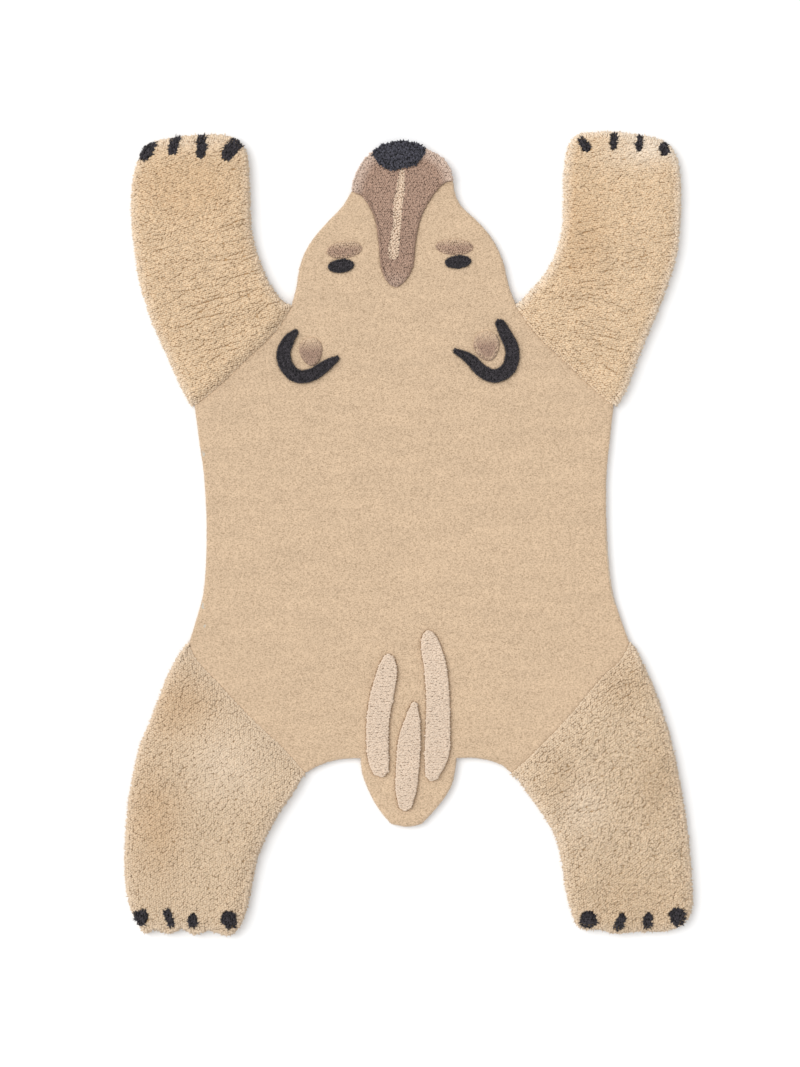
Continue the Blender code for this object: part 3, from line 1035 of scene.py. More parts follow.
@dataclass
class ShagLeg:
    """One leg in long shag, from its seam to its paw.

    Attributes:
        node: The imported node.
        nap: The way its shag lies.
        seed: The start of its random numbers.
        squeeze: How much closer than along the nap its rows stand.
        radius: A tuft's radius.
        depth: How far the core lies below the cut ends.
        unevenness: How unevenly high the tufts are cut.
        parting: How far a crease pushes tufts aside.
        sinking: How far it lets them down.
        edge: How far from the rim the pile starts to curl down.
        curling: How far it curls down and out there.
        seam_top: The height of the cut ends right at the seam.
        full: How much higher they stand far from it.
        at_rim: How close to the rug's rim a place of the leg's edge is part of it.
        inset: How far inside the rim its locks are rooted.
        lock: A lock's radius.
        rim: The rows of locks at the rim.
        claw_rows: How many of them take on the claws' colour.
        jitter: How far out of line a tuft may stand, as a share of the pitch.
        seam_pitch: The distance from tuft to tuft along the seam.
        rim_pitch: The distance from lock to lock along the rim.
        thin: How thick the solid is where its core is left as it is.
        hem: How high its top is where tufts begin to stand on it.
    """

    TURNS = (Wave(4.0, 0.06, 22.0), Wave(9.0, 0.014, 16.0))
    HILLS = Wave(2.0, 0.026, 0.45 * MM)
    STREAKS = Wave(2.0, 0.024, 1.0, 0.0075)
    STREAK_LIGHT = Wave(7.0, 0.020, 0.5, 0.005)
    DYE_CLOUDS = Wave(8.0, 0.04, 0.25)

    node: str
    nap: Nap
    seed: int
    squeeze: float = 0.88
    radius: float = 3.0 * MM
    depth: float = 3.2 * MM
    unevenness: float = 0.36 * MM
    parting: float = 1.5 * MM
    sinking: float = 1.1 * MM
    edge: float = 13 * MM
    curling: tuple[float, float] = (1.0 * MM, 3.0 * MM)
    seam_top: float = 12.4 * MM
    full: float = 13 * MM
    at_rim: float = 2.1 * MM
    inset: float = 1.0 * MM
    lock: float = 2.1 * MM
    rim: tuple[RimRow, ...] = (
        RimRow(13.0 * MM, 1.2 * MM, 4.0 * MM),
        RimRow(9.5 * MM, -1.0 * MM, 5.2 * MM),
        RimRow(6.0 * MM, -2.2 * MM, 5.4 * MM),
    )
    claw_rows: int = 2
    jitter: float = 0.2
    seam_pitch: float = 3.2 * MM
    rim_pitch: float = 3.5 * MM
    thin: float = 6 * MM
    hem: float = 9 * MM

    def build(self) -> bpy.types.Object:
        """Builds the leg.

        Returns:
            The piece.
        """
        self.solid = Solid(self.node)
        self.random = np.random.default_rng(self.seed)
        self.loop = self.solid.foot()
        self.marks = [mark for mark in CLAW_MARKS if mark.leg == self.node]
        self.claimed: dict[int, list[tuple[Vector, Vector, float]]] = {}
        self.creases = Creases(self.nap.partings, self.seed + 1)
        self._find_rim_and_seam()
        core = self._core()
        self.core_tree = BVHTree.FromBMesh(core)
        self.tufts = Tufts(SHAG_TUFT, self.seed + 2)
        self.locks = Tufts(LOCK, self.seed + 3)
        self.ends = Tufts(LOOSE_END, self.seed + 4)
        self._cover_top()
        self._cover_seam()
        self._cover_rim()
        self._fray_rim()
        values = {"height": np.array([self._depth_shade(flat(v.co)) for v in core.verts])}
        groups = (self.tufts, self.locks, self.ends)
        name = f"{self.node}_shag"
        return dressed(name, self.node, Slot.SHAG, core, groups, values, self.nap.wool)

    def _find_rim_and_seam(self) -> None:
        """Tells the part of the foot's edge that is the rug's rim from the seam."""
        rim: list[Vector] = []
        seam: list[Vector] = []
        for point, _ in walk(self.loop, 2 * MM):
            (rim if at_rim(point, 7 * MM) else seam).append(point)
        self.rim_tree, self.seam_tree = plan_tree(rim), plan_tree(seam)

    def _from_rim(self, point: Vector) -> float:
        """How far a place at height zero is from the rug's rim."""
        return self.rim_tree.find(point)[2]

    def _from_seam(self, point: Vector) -> float:
        """How far a place at height zero is from the seam."""
        return self.seam_tree.find(point)[2]

    def _depth_shade(self, point: Vector) -> float:
        """How pale the core between the tufts is painted at a place, from 0 to 1, where 0 is the
        root's full painted shade, lifted near the seam and the rim.
        """
        near_seam = math.exp(-self._from_seam(point) / (18 * MM))
        return 0.8 * max(near_seam, math.exp(-self._from_rim(point) / (4 * MM)))

    def _ceiling(self, point: Vector) -> float:
        """How high the cut ends may stand over a place."""
        risen = 1.0 - math.exp(-self._from_seam(point) / self.nap.swell)
        return self.seam_top + self.full * risen

    def _core(self) -> bmesh.types.BMesh:
        """Copies the solid with its top lowered, more so towards the seam.

        Returns:
            The copy.
        """
        mesh = self.solid.mesh.copy()
        for vertex in mesh.verts:
            rise = vertex.co.z - self.solid.low.z
            if rise > self.thin:
                lowered = vertex.co.z - min(self.depth, 0.4 * rise)
                vertex.co.z = min(lowered, self._ceiling(flat(vertex.co)) - self.depth)
        return mesh

    def _shades(self, point: Vector) -> tuple[float, float]:
        """Finds the dye of a place.

        Args:
            point: The place.

        Returns:
            How much dye it took up and how much it is bleached, both from 0 to 1.
        """
        fade = 1.0 + self.DYE_CLOUDS.at(point)
        stain = self.nap.dyed + sum(patch.share(point) for patch in self.nap.darker)
        paleness = sum(patch.share(point) for patch in self.nap.paler)
        return clamp(stain * fade), clamp(paleness * fade)

    def _cover_top(self) -> None:
        """Stands tufts over the whole top."""
        lattice = Lattice(self.nap.pitch, self.nap.lie, self.jitter, self.squeeze)
        lowest = self.solid.low.z + self.hem
        for x, y in lattice.places(self.solid.low, self.solid.high, self.random):
            point = Vector((x, y, 0.0))
            hit = self.solid.top(x, y)
            if hit is not None and hit[0] >= lowest and not self._claw_at(point):
                self._stand(point, min(hit[0], self._ceiling(point)))

    def _stand(self, point: Vector, ceiling: float) -> None:
        """Stands one tuft on the top.

        Args:
            point: Its place, at height zero.
            ceiling: How high its cut end would stand in an even pile.
        """
        nap = level(self.nap.lie)
        nearest, _, away = self.rim_tree.find(point)
        curl = max(0.0, 1.0 - away / self.edge)
        outward = (nearest - point).normalized() if away > 1e-5 else Vector()
        lie = level(self.nap.lie + sum(wave.at(point) for wave in self.TURNS))
        lie = lie.lerp(outward if lie.dot(outward) >= 0 else -outward, min(1.0, 1.4 * curl))
        lie.normalize()
        push, share = self.creases.parted(point)
        rise = self.random.normal(0.0, self.unevenness)
        rise += self.HILLS.at(point) + self.nap.ridge * self.STREAKS.at(point, nap)
        if self.random.uniform() < self.nap.dropped:
            rise -= self.random.uniform(1.0, 1.9) * MM
        down, out = self.curling
        top = ceiling + rise - (self.sinking * share + down * curl)
        tip = point + SKY * top + push * (self.parting * share)
        tip += lie * self.random.normal(0.5 * MM, 0.5 * MM) + outward * (curl * out)
        hit = hit_from_above(self.core_tree, point.x, point.y)
        bed = min(hit[0] - 1.0 * MM, top - self.depth) if hit else top - self.depth - 1.0 * MM
        root = point + SKY * bed + push * (0.9 * self.parting * share)
        stain, paleness = self._shades(point)
        # Painted highlight on the seam's rolled edge, added to the bleached patches.
        paleness += self.nap.seam_highlight * math.exp(-self._from_seam(point) / self.nap.swell)
        # Painted shade in a crease: a parted tuft is painted darker by its crease share.
        light = self.random.uniform(0, 1) + self.STREAK_LIGHT.at(point, nap) - 0.9 * share
        size = self.radius * self.random.uniform(0.84, 1.16) * (1.0 - 0.18 * share)
        # Painted highlight where the pile curls down at the rim, with the bleached patches and the
        # seam's painted highlight.
        rim = min(1.0, 0.75 * curl**1.2 + paleness)
        self.tufts.add(root, tip, size, clamp(light), rim, stain, lie, self.nap.stretch)

    def _cover_seam(self) -> None:
        """Leans a row of tufts over the seam."""
        for point, out in walk(self.loop, self.seam_pitch):
            foot = flat(point)
            if self._from_rim(foot) < 3.0 * MM:
                continue
            root = foot - out * 1.8 * MM + SKY * 8.5 * MM
            tip = foot + out * self.random.uniform(-0.8, 1.3) * MM
            tip += beside(out) * self.random.normal(0.0, 0.8 * MM)
            tip.z = self.seam_top + self.random.normal(0.1 * MM, 0.3 * MM)
            size = self.radius * self.random.uniform(0.7, 1.0)
            tint = self.random.uniform(0.3, 1)
            stain, _ = self._shades(foot)
            # The seam row takes the worn colour as a painted highlight on the rolled edge.
            self.tufts.add(root, tip, size, tint, 0.3 + self.nap.seam_highlight, stain, out, 1.25)

    def _rim_places(self) -> list[tuple[Vector, Vector, ClawMark | None]]:
        """Walks along the leg's part of the rug's rim.

        Returns:
            Each place at height zero, the way out, and the claw that reaches over it.
        """
        places = [(flat(point), out) for point, out in walk(self.loop, self.rim_pitch)]
        return [
            (foot, out, self._claw_at(foot + out * (1.5 * MM)))
            for foot, out in places
            if self._from_rim(foot) <= self.at_rim
        ]

    def _cover_rim(self) -> None:
        """Hangs locks over the cut edge."""
        for number, row in enumerate(self.rim):
            hills = Wave(20.0 + number, 0.02, 1.8 * MM)
            for foot, out, claw in self._rim_places():
                root = foot + SKY * row.height - out * self.inset
                root += beside(out) * self.random.uniform(-1, 1) * MM
                stray = hills.at(foot) + self.random.normal(0.0, 0.9 * MM)
                tip = root + out * (row.reach + self.inset + stray)
                tip += beside(out) * self.random.normal(0.0, 1.9 * MM)
                tip.z = max(tip.z + row.rise + self.random.normal(0.0, 0.6 * MM), 1.2 * MM)
                size = self.lock * self.random.uniform(0.65, 1.2)
                tint = self.random.uniform(0, 1)
                if claw and number < self.claw_rows:
                    self.claimed.setdefault(claw.number, []).append((root, tip, size))
                else:
                    # The rim's locks take the worn colour as a painted highlight.
                    self.locks.add(root, tip, size, tint, rim=0.8)

    def _fray_rim(self) -> None:
        """Lets single loose ends stray out of the rim."""
        for foot, out, claw in self._rim_places():
            if claw:
                continue
            root = foot + SKY * (self.random.uniform(5.0, 13.5) * MM) + out * MM
            way = out + beside(out) * self.random.normal(0.0, 0.5)
            tip = root + way.normalized() * self.random.uniform(4.0, 8.5) * MM
            tip.z = max(tip.z + self.random.normal(-0.5, 1.2) * MM, 1.0 * MM)
            size = self.random.uniform(0.7, 1.3) * MM
            # Loose ends at the rim take the worn colour as a painted highlight.
            self.ends.add(root, tip, size, self.random.uniform(0, 1), 0.9)

    def _claw_at(self, point: Vector) -> ClawMark | None:
        """The claw mark that takes in a place, or None."""
        return next((mark for mark in self.marks if mark.depth(point) > 0.0), None)


@dataclass(frozen=True)
class ClawMark:
    """The dark mark of one claw on its paw, in millimetres.

    Attributes:
        leg: The leg's node.
        number: Its place in the paw, from the rug's left.
        start: One end of the mark.
        end: The other end.
        width: How wide it is.
        taper: The share of its width that is gone at its second end.
    """

    RAGGED = (Wave(40.0, 0.007, 2.4 * MM), Wave(41.0, 0.003, 2.0 * MM))

    leg: str
    number: int
    start: tuple[float, float]
    end: tuple[float, float]
    width: float
    taper: float = 0.0

    @property
    def ends(self) -> tuple[Vector, Vector]:
        """Both of its ends, in metres."""
        return Vector((*self.start, 0.0)) * MM, Vector((*self.end, 0.0)) * MM

    def depth(self, point: Vector) -> float:
        """Measures how far inside the ragged mark a place is.

        Args:
            point: The place, at height zero.

        Returns:
            The distance in metres, below zero outside the mark.
        """
        first, last = self.ends
        along = last - first
        half = self.width / 2 * MM
        inset = min(0.5, half / along.length)
        share = (point - first).dot(along) / along.length_squared
        nearest = first + along * max(inset, min(1.0 - inset, share))
        half *= 1.0 - self.taper * clamp(share)
        return half - (point - nearest).length + sum(wave.at(point) for wave in self.RAGGED)


CLAW_MARKS = (
    ClawMark("foreleg_left", 1, (-444, 683), (-461, 648), 20),
    ClawMark("foreleg_left", 2, (-403, 690), (-410, 657), 15),
    ClawMark("foreleg_left", 3, (-358, 693), (-359, 651), 15),
    ClawMark("foreleg_left", 4, (-292, 687), (-320, 648), 21),
    ClawMark("foreleg_right", 1, (296, 686), (312, 664), 12),
    ClawMark("foreleg_right", 2, (356, 694), (354, 665), 13, 0.4),
    ClawMark("foreleg_right", 3, (402, 691), (398, 662), 10, 0.4),
    ClawMark("foreleg_right", 4, (443, 678), (446, 656), 13),
    ClawMark("hindleg_left", 1, (-463, -652), (-464, -683), 24, 0.5),
    ClawMark("hindleg_left", 2, (-420, -650), (-408, -680), 11),
    ClawMark("hindleg_left", 3, (-374, -661), (-374, -682), 13),
    ClawMark("hindleg_left", 4, (-308, -656), (-312, -682), 23),
    ClawMark("hindleg_right", 1, (298, -669), (327, -668), 25),
    ClawMark("hindleg_right", 2, (371, -662), (359, -687), 13),
    ClawMark("hindleg_right", 3, (416, -660), (413, -683), 13),
    ClawMark("hindleg_right", 4, (469, -649), (465, -679), 24),
)


@dataclass
class ClawPile:
    """The dark shag of one claw, set into its paw.

    Attributes:
        mark: The mark that it fills.
        leg: The leg that it is set into, already built.
        seed: The start of its random numbers.
        pitch: The distance from tuft to tuft.
        radius: A tuft's radius.
        depth: How far the core lies below the cut ends.
        proud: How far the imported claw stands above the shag.
        frayed: How many loose ends reach out of the mark.
        around: How far round a place its height is looked for.
        jitter: How far out of line a tuft may stand, as a share of the pitch.
    """

    mark: ClawMark
    leg: ShagLeg
    seed: int
    pitch: float = 3.5 * MM
    radius: float = 2.1 * MM
    depth: float = 5.0 * MM
    proud: float = 2.0 * MM
    frayed: int = 26
    around: float = 1.3 * MM
    jitter: float = 0.3

    def build(self) -> bpy.types.Object:
        """Builds the claw.

        Returns:
            The piece.
        """
        node = f"claw_{self.mark.leg}_{self.mark.number}"
        self.solid = Solid(node)
        self.random = np.random.default_rng(self.seed)
        self.tufts = Tufts(ROUND_TUFT, self.seed + 1)
        locks = Tufts(LOCK, self.seed + 2)
        self.ends = Tufts(LOOSE_END, self.seed + 3)
        self._cover()
        self._fray()
        for root, tip, radius in self.leg.claimed.get(self.mark.number, ()):
            locks.add(root, tip, radius, self.random.uniform(0, 1))
        core = self.solid.lowered(self.depth)
        groups = (self.tufts, locks, self.ends)
        return dressed(f"{node}_tufts", node, Slot.DARK, core, groups)

    def _height(self, x: float, y: float) -> float | None:
        """Finds the height of the cut ends over a place.

        Args:
            x: The place's x.
            y: The place's y.

        Returns:
            The height, or None beside the paw.
        """
        found = []
        step = self.around
        for off_x, off_y in ((0, 0), (step, 0), (-step, 0), (0, step), (0, -step)):
            for solid, proud in ((self.leg.solid, 0.0), (self.solid, self.proud)):
                hit = solid.top(x + off_x, y + off_y)
                if hit:
                    found.append(hit[0] - proud)
        return max(found, default=None)

    def _cover(self) -> None:
        """Fills the mark with tufts."""
        first, last = self.mark.ends
        margin = Vector((1.0, 1.0, 0.0)) * (self.mark.width / 2 + 5) * MM
        low = Vector(map(min, first, last)) - margin
        high = Vector(map(max, first, last)) + margin
        lie = (last - first).normalized()
        lattice = Lattice(self.pitch, math.degrees(math.atan2(lie.y, lie.x)), self.jitter)
        for x, y in lattice.places(low, high, self.random):
            point = Vector((x, y, 0.0))
            height = self._height(x, y)
            if height is None or self.mark.depth(point) < 0.4 * MM:
                continue
            tip = point + SKY * (height + self.random.normal(0.6 * MM, 0.4 * MM))
            tip += lie * self.random.normal(0.0, 0.8 * MM)
            root = point + SKY * (height - self.depth)
            size = self.radius * self.random.uniform(0.8, 1.15)
            self.tufts.add(root, tip, size, self.random.uniform(0, 1), lie=lie, stretch=1.2)

    def _fray(self) -> None:
        """Lets loose ends stray out of the mark."""
        first, last = self.mark.ends
        lie = (first - last).normalized()
        for _ in range(self.frayed):
            middle = first.lerp(last, self.random.uniform(0.15, 0.85))
            turn = self.random.normal(0.0, 0.5) * math.pi
            way = lie * math.cos(turn) + beside(lie) * math.sin(turn)
            place = middle
            while self.mark.depth(place) > 1.0 * MM and (place - middle).length < 40 * MM:
                place = place + way * MM
            height = self._height(place.x, place.y)
            if height is None:
                continue
            root = place + SKY * (height - 0.8 * MM) - way * 1.5 * MM
            tip = root + way * (self.random.uniform(3.0, 6.5) + 0.1 * self.mark.width) * MM
            over = self._height(tip.x, tip.y)
            tip.z = (over if over is not None else height - 3 * MM) + 0.8 * MM
            self.ends.add(root, tip, self.random.uniform(0.8, 1.3) * MM, self.random.uniform(0, 1))


@dataclass
class PileArea:
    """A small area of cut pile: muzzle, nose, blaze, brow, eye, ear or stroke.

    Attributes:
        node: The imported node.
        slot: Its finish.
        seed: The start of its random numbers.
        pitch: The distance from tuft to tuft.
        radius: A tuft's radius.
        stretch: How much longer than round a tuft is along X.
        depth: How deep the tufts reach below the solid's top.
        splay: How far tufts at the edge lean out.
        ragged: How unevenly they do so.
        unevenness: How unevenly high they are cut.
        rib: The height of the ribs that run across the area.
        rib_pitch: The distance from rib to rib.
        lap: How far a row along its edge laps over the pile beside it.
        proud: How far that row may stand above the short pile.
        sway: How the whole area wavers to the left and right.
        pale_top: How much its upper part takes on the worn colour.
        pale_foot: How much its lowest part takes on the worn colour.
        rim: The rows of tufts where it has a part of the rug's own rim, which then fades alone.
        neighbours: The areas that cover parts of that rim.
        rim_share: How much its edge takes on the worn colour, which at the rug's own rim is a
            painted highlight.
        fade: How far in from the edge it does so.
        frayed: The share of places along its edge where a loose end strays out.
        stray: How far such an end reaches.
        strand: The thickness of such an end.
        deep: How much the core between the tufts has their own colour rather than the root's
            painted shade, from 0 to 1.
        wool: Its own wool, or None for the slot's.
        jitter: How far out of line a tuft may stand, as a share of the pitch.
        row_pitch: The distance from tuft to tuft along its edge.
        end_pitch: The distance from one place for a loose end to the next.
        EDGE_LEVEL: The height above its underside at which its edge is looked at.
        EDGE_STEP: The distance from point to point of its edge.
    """

    EDGE_LEVEL = 6 * MM
    EDGE_STEP = 1.5 * MM

    node: str
    slot: Slot
    seed: int
    pitch: float = 3.4 * MM
    radius: float = 2.2 * MM
    stretch: float = 1.0
    depth: float = 2.8 * MM
    splay: float = 1.2 * MM
    ragged: float = 0.5 * MM
    unevenness: float = 0.35 * MM
    rib: float = 0.0
    rib_pitch: float = 8.0 * MM
    lap: float = 0.8 * MM
    proud: float = 5.0 * MM
    sway: Wave = Wave(50.0, 0.012, 0.0)
    pale_top: float = 0.0
    pale_foot: float = 0.0
    rim: tuple[RimRow, ...] = ()
    neighbours: tuple[str, ...] = ()
    rim_share: float = 0.0
    fade: float = 3.2 * MM
    frayed: float = 0.0
    stray: float = 2.0 * MM
    strand: float = 0.95 * MM
    deep: float = 0.0
    wool: Wool | None = None
    jitter: float = 0.2
    row_pitch: float = 2.8 * MM
    end_pitch: float = 1.7 * MM

    def build(self) -> bpy.types.Object:
        """Builds the area.

        Returns:
            The piece.
        """
        self.solid = Solid(self.node)
        self.random = np.random.default_rng(self.seed)
        self.covers = [Solid(name) for name in self.neighbours]
        self.loop = self.solid.foot()
        self.edge = walk(self.loop, self.EDGE_STEP)
        self.edge_tree = plan_tree(point for point, _ in self.edge)
        self.free = [self._is_free(*place) for place in self.edge]
        self.tufts = Tufts(ROUND_TUFT, self.seed + 1)
        self.ends = Tufts(LOOSE_END, self.seed + 2)
        self._cover()
        self._cover_edge()
        self._cover_rim()
        self._fray()
        core = self.solid.lowered(self.depth)
        rims = np.array([self._fading(flat(vertex.co)) for vertex in core.verts])
        values = {"rim": rims, "height": np.full(len(rims), self.deep)}
        groups = (self.tufts, self.ends)
        name = f"{self.node}_pile"
        return dressed(name, self.node, self.slot, core, groups, values, self.wool)

    def _is_free(self, point: Vector, out: Vector) -> bool:
        """Tells the rug's own rim from an edge that another area stands against.

        Args:
            point: A place on the edge.
            out: The way out of the area there.

        Returns:
            True at the rug's own rim.
        """
        ahead = point + out * 2.0 * MM
        covered = any(area.top(ahead.x, ahead.y) for area in self.covers)
        return at_rim(point, self.EDGE_LEVEL) and not covered

    def _fading(self, point: Vector) -> float:
        """Finds how much a place takes on the worn colour: a painted highlight at the rug's own
        rim, a plain fade at other edges.

        Args:
            point: The place, at height zero.

        Returns:
            The share, from 0 to 1.
        """
        if self.rim_share == 0.0:
            return 0.0
        share = (point.y - self.solid.low.y) / (self.solid.high.y - self.solid.low.y)
        upper = self.pale_top * clamp(2.2 * share - 1.1)
        upper = max(upper, self.pale_foot * max(0.0, 1.0 - share / 0.12))
        found = [self.edge_tree.find(point)]
        if self.rim:
            near = self.edge_tree.find_range(point, self.fade)
            found = [item for item in near if self.free[item[1]]]
        away = min((item[2] for item in found), default=self.fade)
        return max(upper, self.rim_share * max(0.0, 1.0 - away / self.fade))

    def _cover(self) -> None:
        """Stands tufts over the top."""
        lie = EAST if self.stretch > 1.0 else None
        lattice = Lattice(self.pitch, 0.0, self.jitter)
        for x, y in lattice.places(self.solid.low, self.solid.high, self.random):
            hit = self.solid.top(x, y)
            if hit is None or hit[1].z < 0.2:
                continue
            _, index, away = self.edge_tree.find((x, y, 0.0))
            if away < 0.5 * MM:
                continue
            near = max(0.0, 1.0 - away / (3.2 * MM))
            top = min(self.solid.high.z, hit[0] + 1.0 * MM)
            top += self.random.normal(0.0, self.unevenness)
            top += self.rib * math.sin(2 * math.pi * y / self.rib_pitch)
            shift = self.sway.at(Vector((0.0, y, 0.0)))
            tip = Vector((x + shift, y, top)) + self.edge[index][1] * near * self.splay
            tip.x += self.random.normal(0.0, self.ragged)
            tip.y += self.random.normal(0.0, self.ragged)
            root = Vector((x + 0.6 * shift, y, hit[0] - self.depth - 0.8 * MM))
            size = self.radius * self.random.uniform(0.85, 1.15)
            tint = self.random.uniform(0, 1)
            rim = self._fading(Vector((x, y, 0.0)))
            self.tufts.add(root, tip, size, tint, rim, lie=lie, stretch=self.stretch)

    def _cover_edge(self) -> None:
        """Stands a row of tufts along the area's edge."""
        for point, out in walk(self.loop, self.row_pitch):
            inner = point - out * 1.5 * MM
            hit = self.solid.top(inner.x, inner.y)
            if hit is None or at_rim(point, self.EDGE_LEVEL):
                continue
            top = hit[0] + min(0.8 * MM, self.solid.high.z - hit[0])
            top = min(top, GROUND.high.z + self.proud)
            tip = point + out * (self.lap + self.random.normal(0.0, 0.5 * self.ragged))
            tip.z = top + self.random.normal(0.0, 0.5 * self.unevenness)
            root = flat(inner) + SKY * (hit[0] - self.depth)
            size = 0.8 * self.radius * self.random.uniform(0.8, 1.1)
            self.tufts.add(root, tip, size, self.random.uniform(0, 1), self._fading(inner))

    def _cover_rim(self) -> None:
        """Adds tufts that point out of the rug's own rim."""
        for row in self.rim:
            for point, out in walk(self.loop, self.pitch):
                if not self._is_free(point, out):
                    continue
                root = flat(point) + SKY * row.height - out * 2.5 * MM
                tip = root + out * (row.reach + self.random.normal(0.0, 1.0 * MM))
                tip += beside(out) * self.random.normal(0.0, 1.2 * MM)
                tip.z += row.rise + self.random.normal(0.0, 0.3 * MM)
                size = self.radius * self.random.uniform(0.6, 1.1)
                # Tufts out of the rug's rim take the worn colour as a painted highlight.
                self.tufts.add(root, tip, size, self.random.uniform(0, 1), 0.7)

    def _fray(self) -> None:
        """Lets loose ends stray over the edge."""
        for point, out in walk(self.loop, self.end_pitch):
            if self.random.uniform() > self.frayed:
                continue
            inner = point - out * 2.2 * MM
            hit = self.solid.top(inner.x, inner.y)
            if hit is None:
                continue
            root = flat(inner) + SKY * (hit[0] - 0.4 * MM)
            reach = 2.2 * MM + self.stray * self.random.uniform(0.2, 1.0)
            way = out + beside(out) * self.random.normal(0.0, 0.4)
            tip = root + way.normalized() * reach
            tip.z += self.random.uniform(0.2, 0.9) * MM
            size = self.random.uniform(0.75, 1.25) * self.strand
            self.ends.add(root, tip, size, self.random.uniform(0, 1), self._fading(inner))


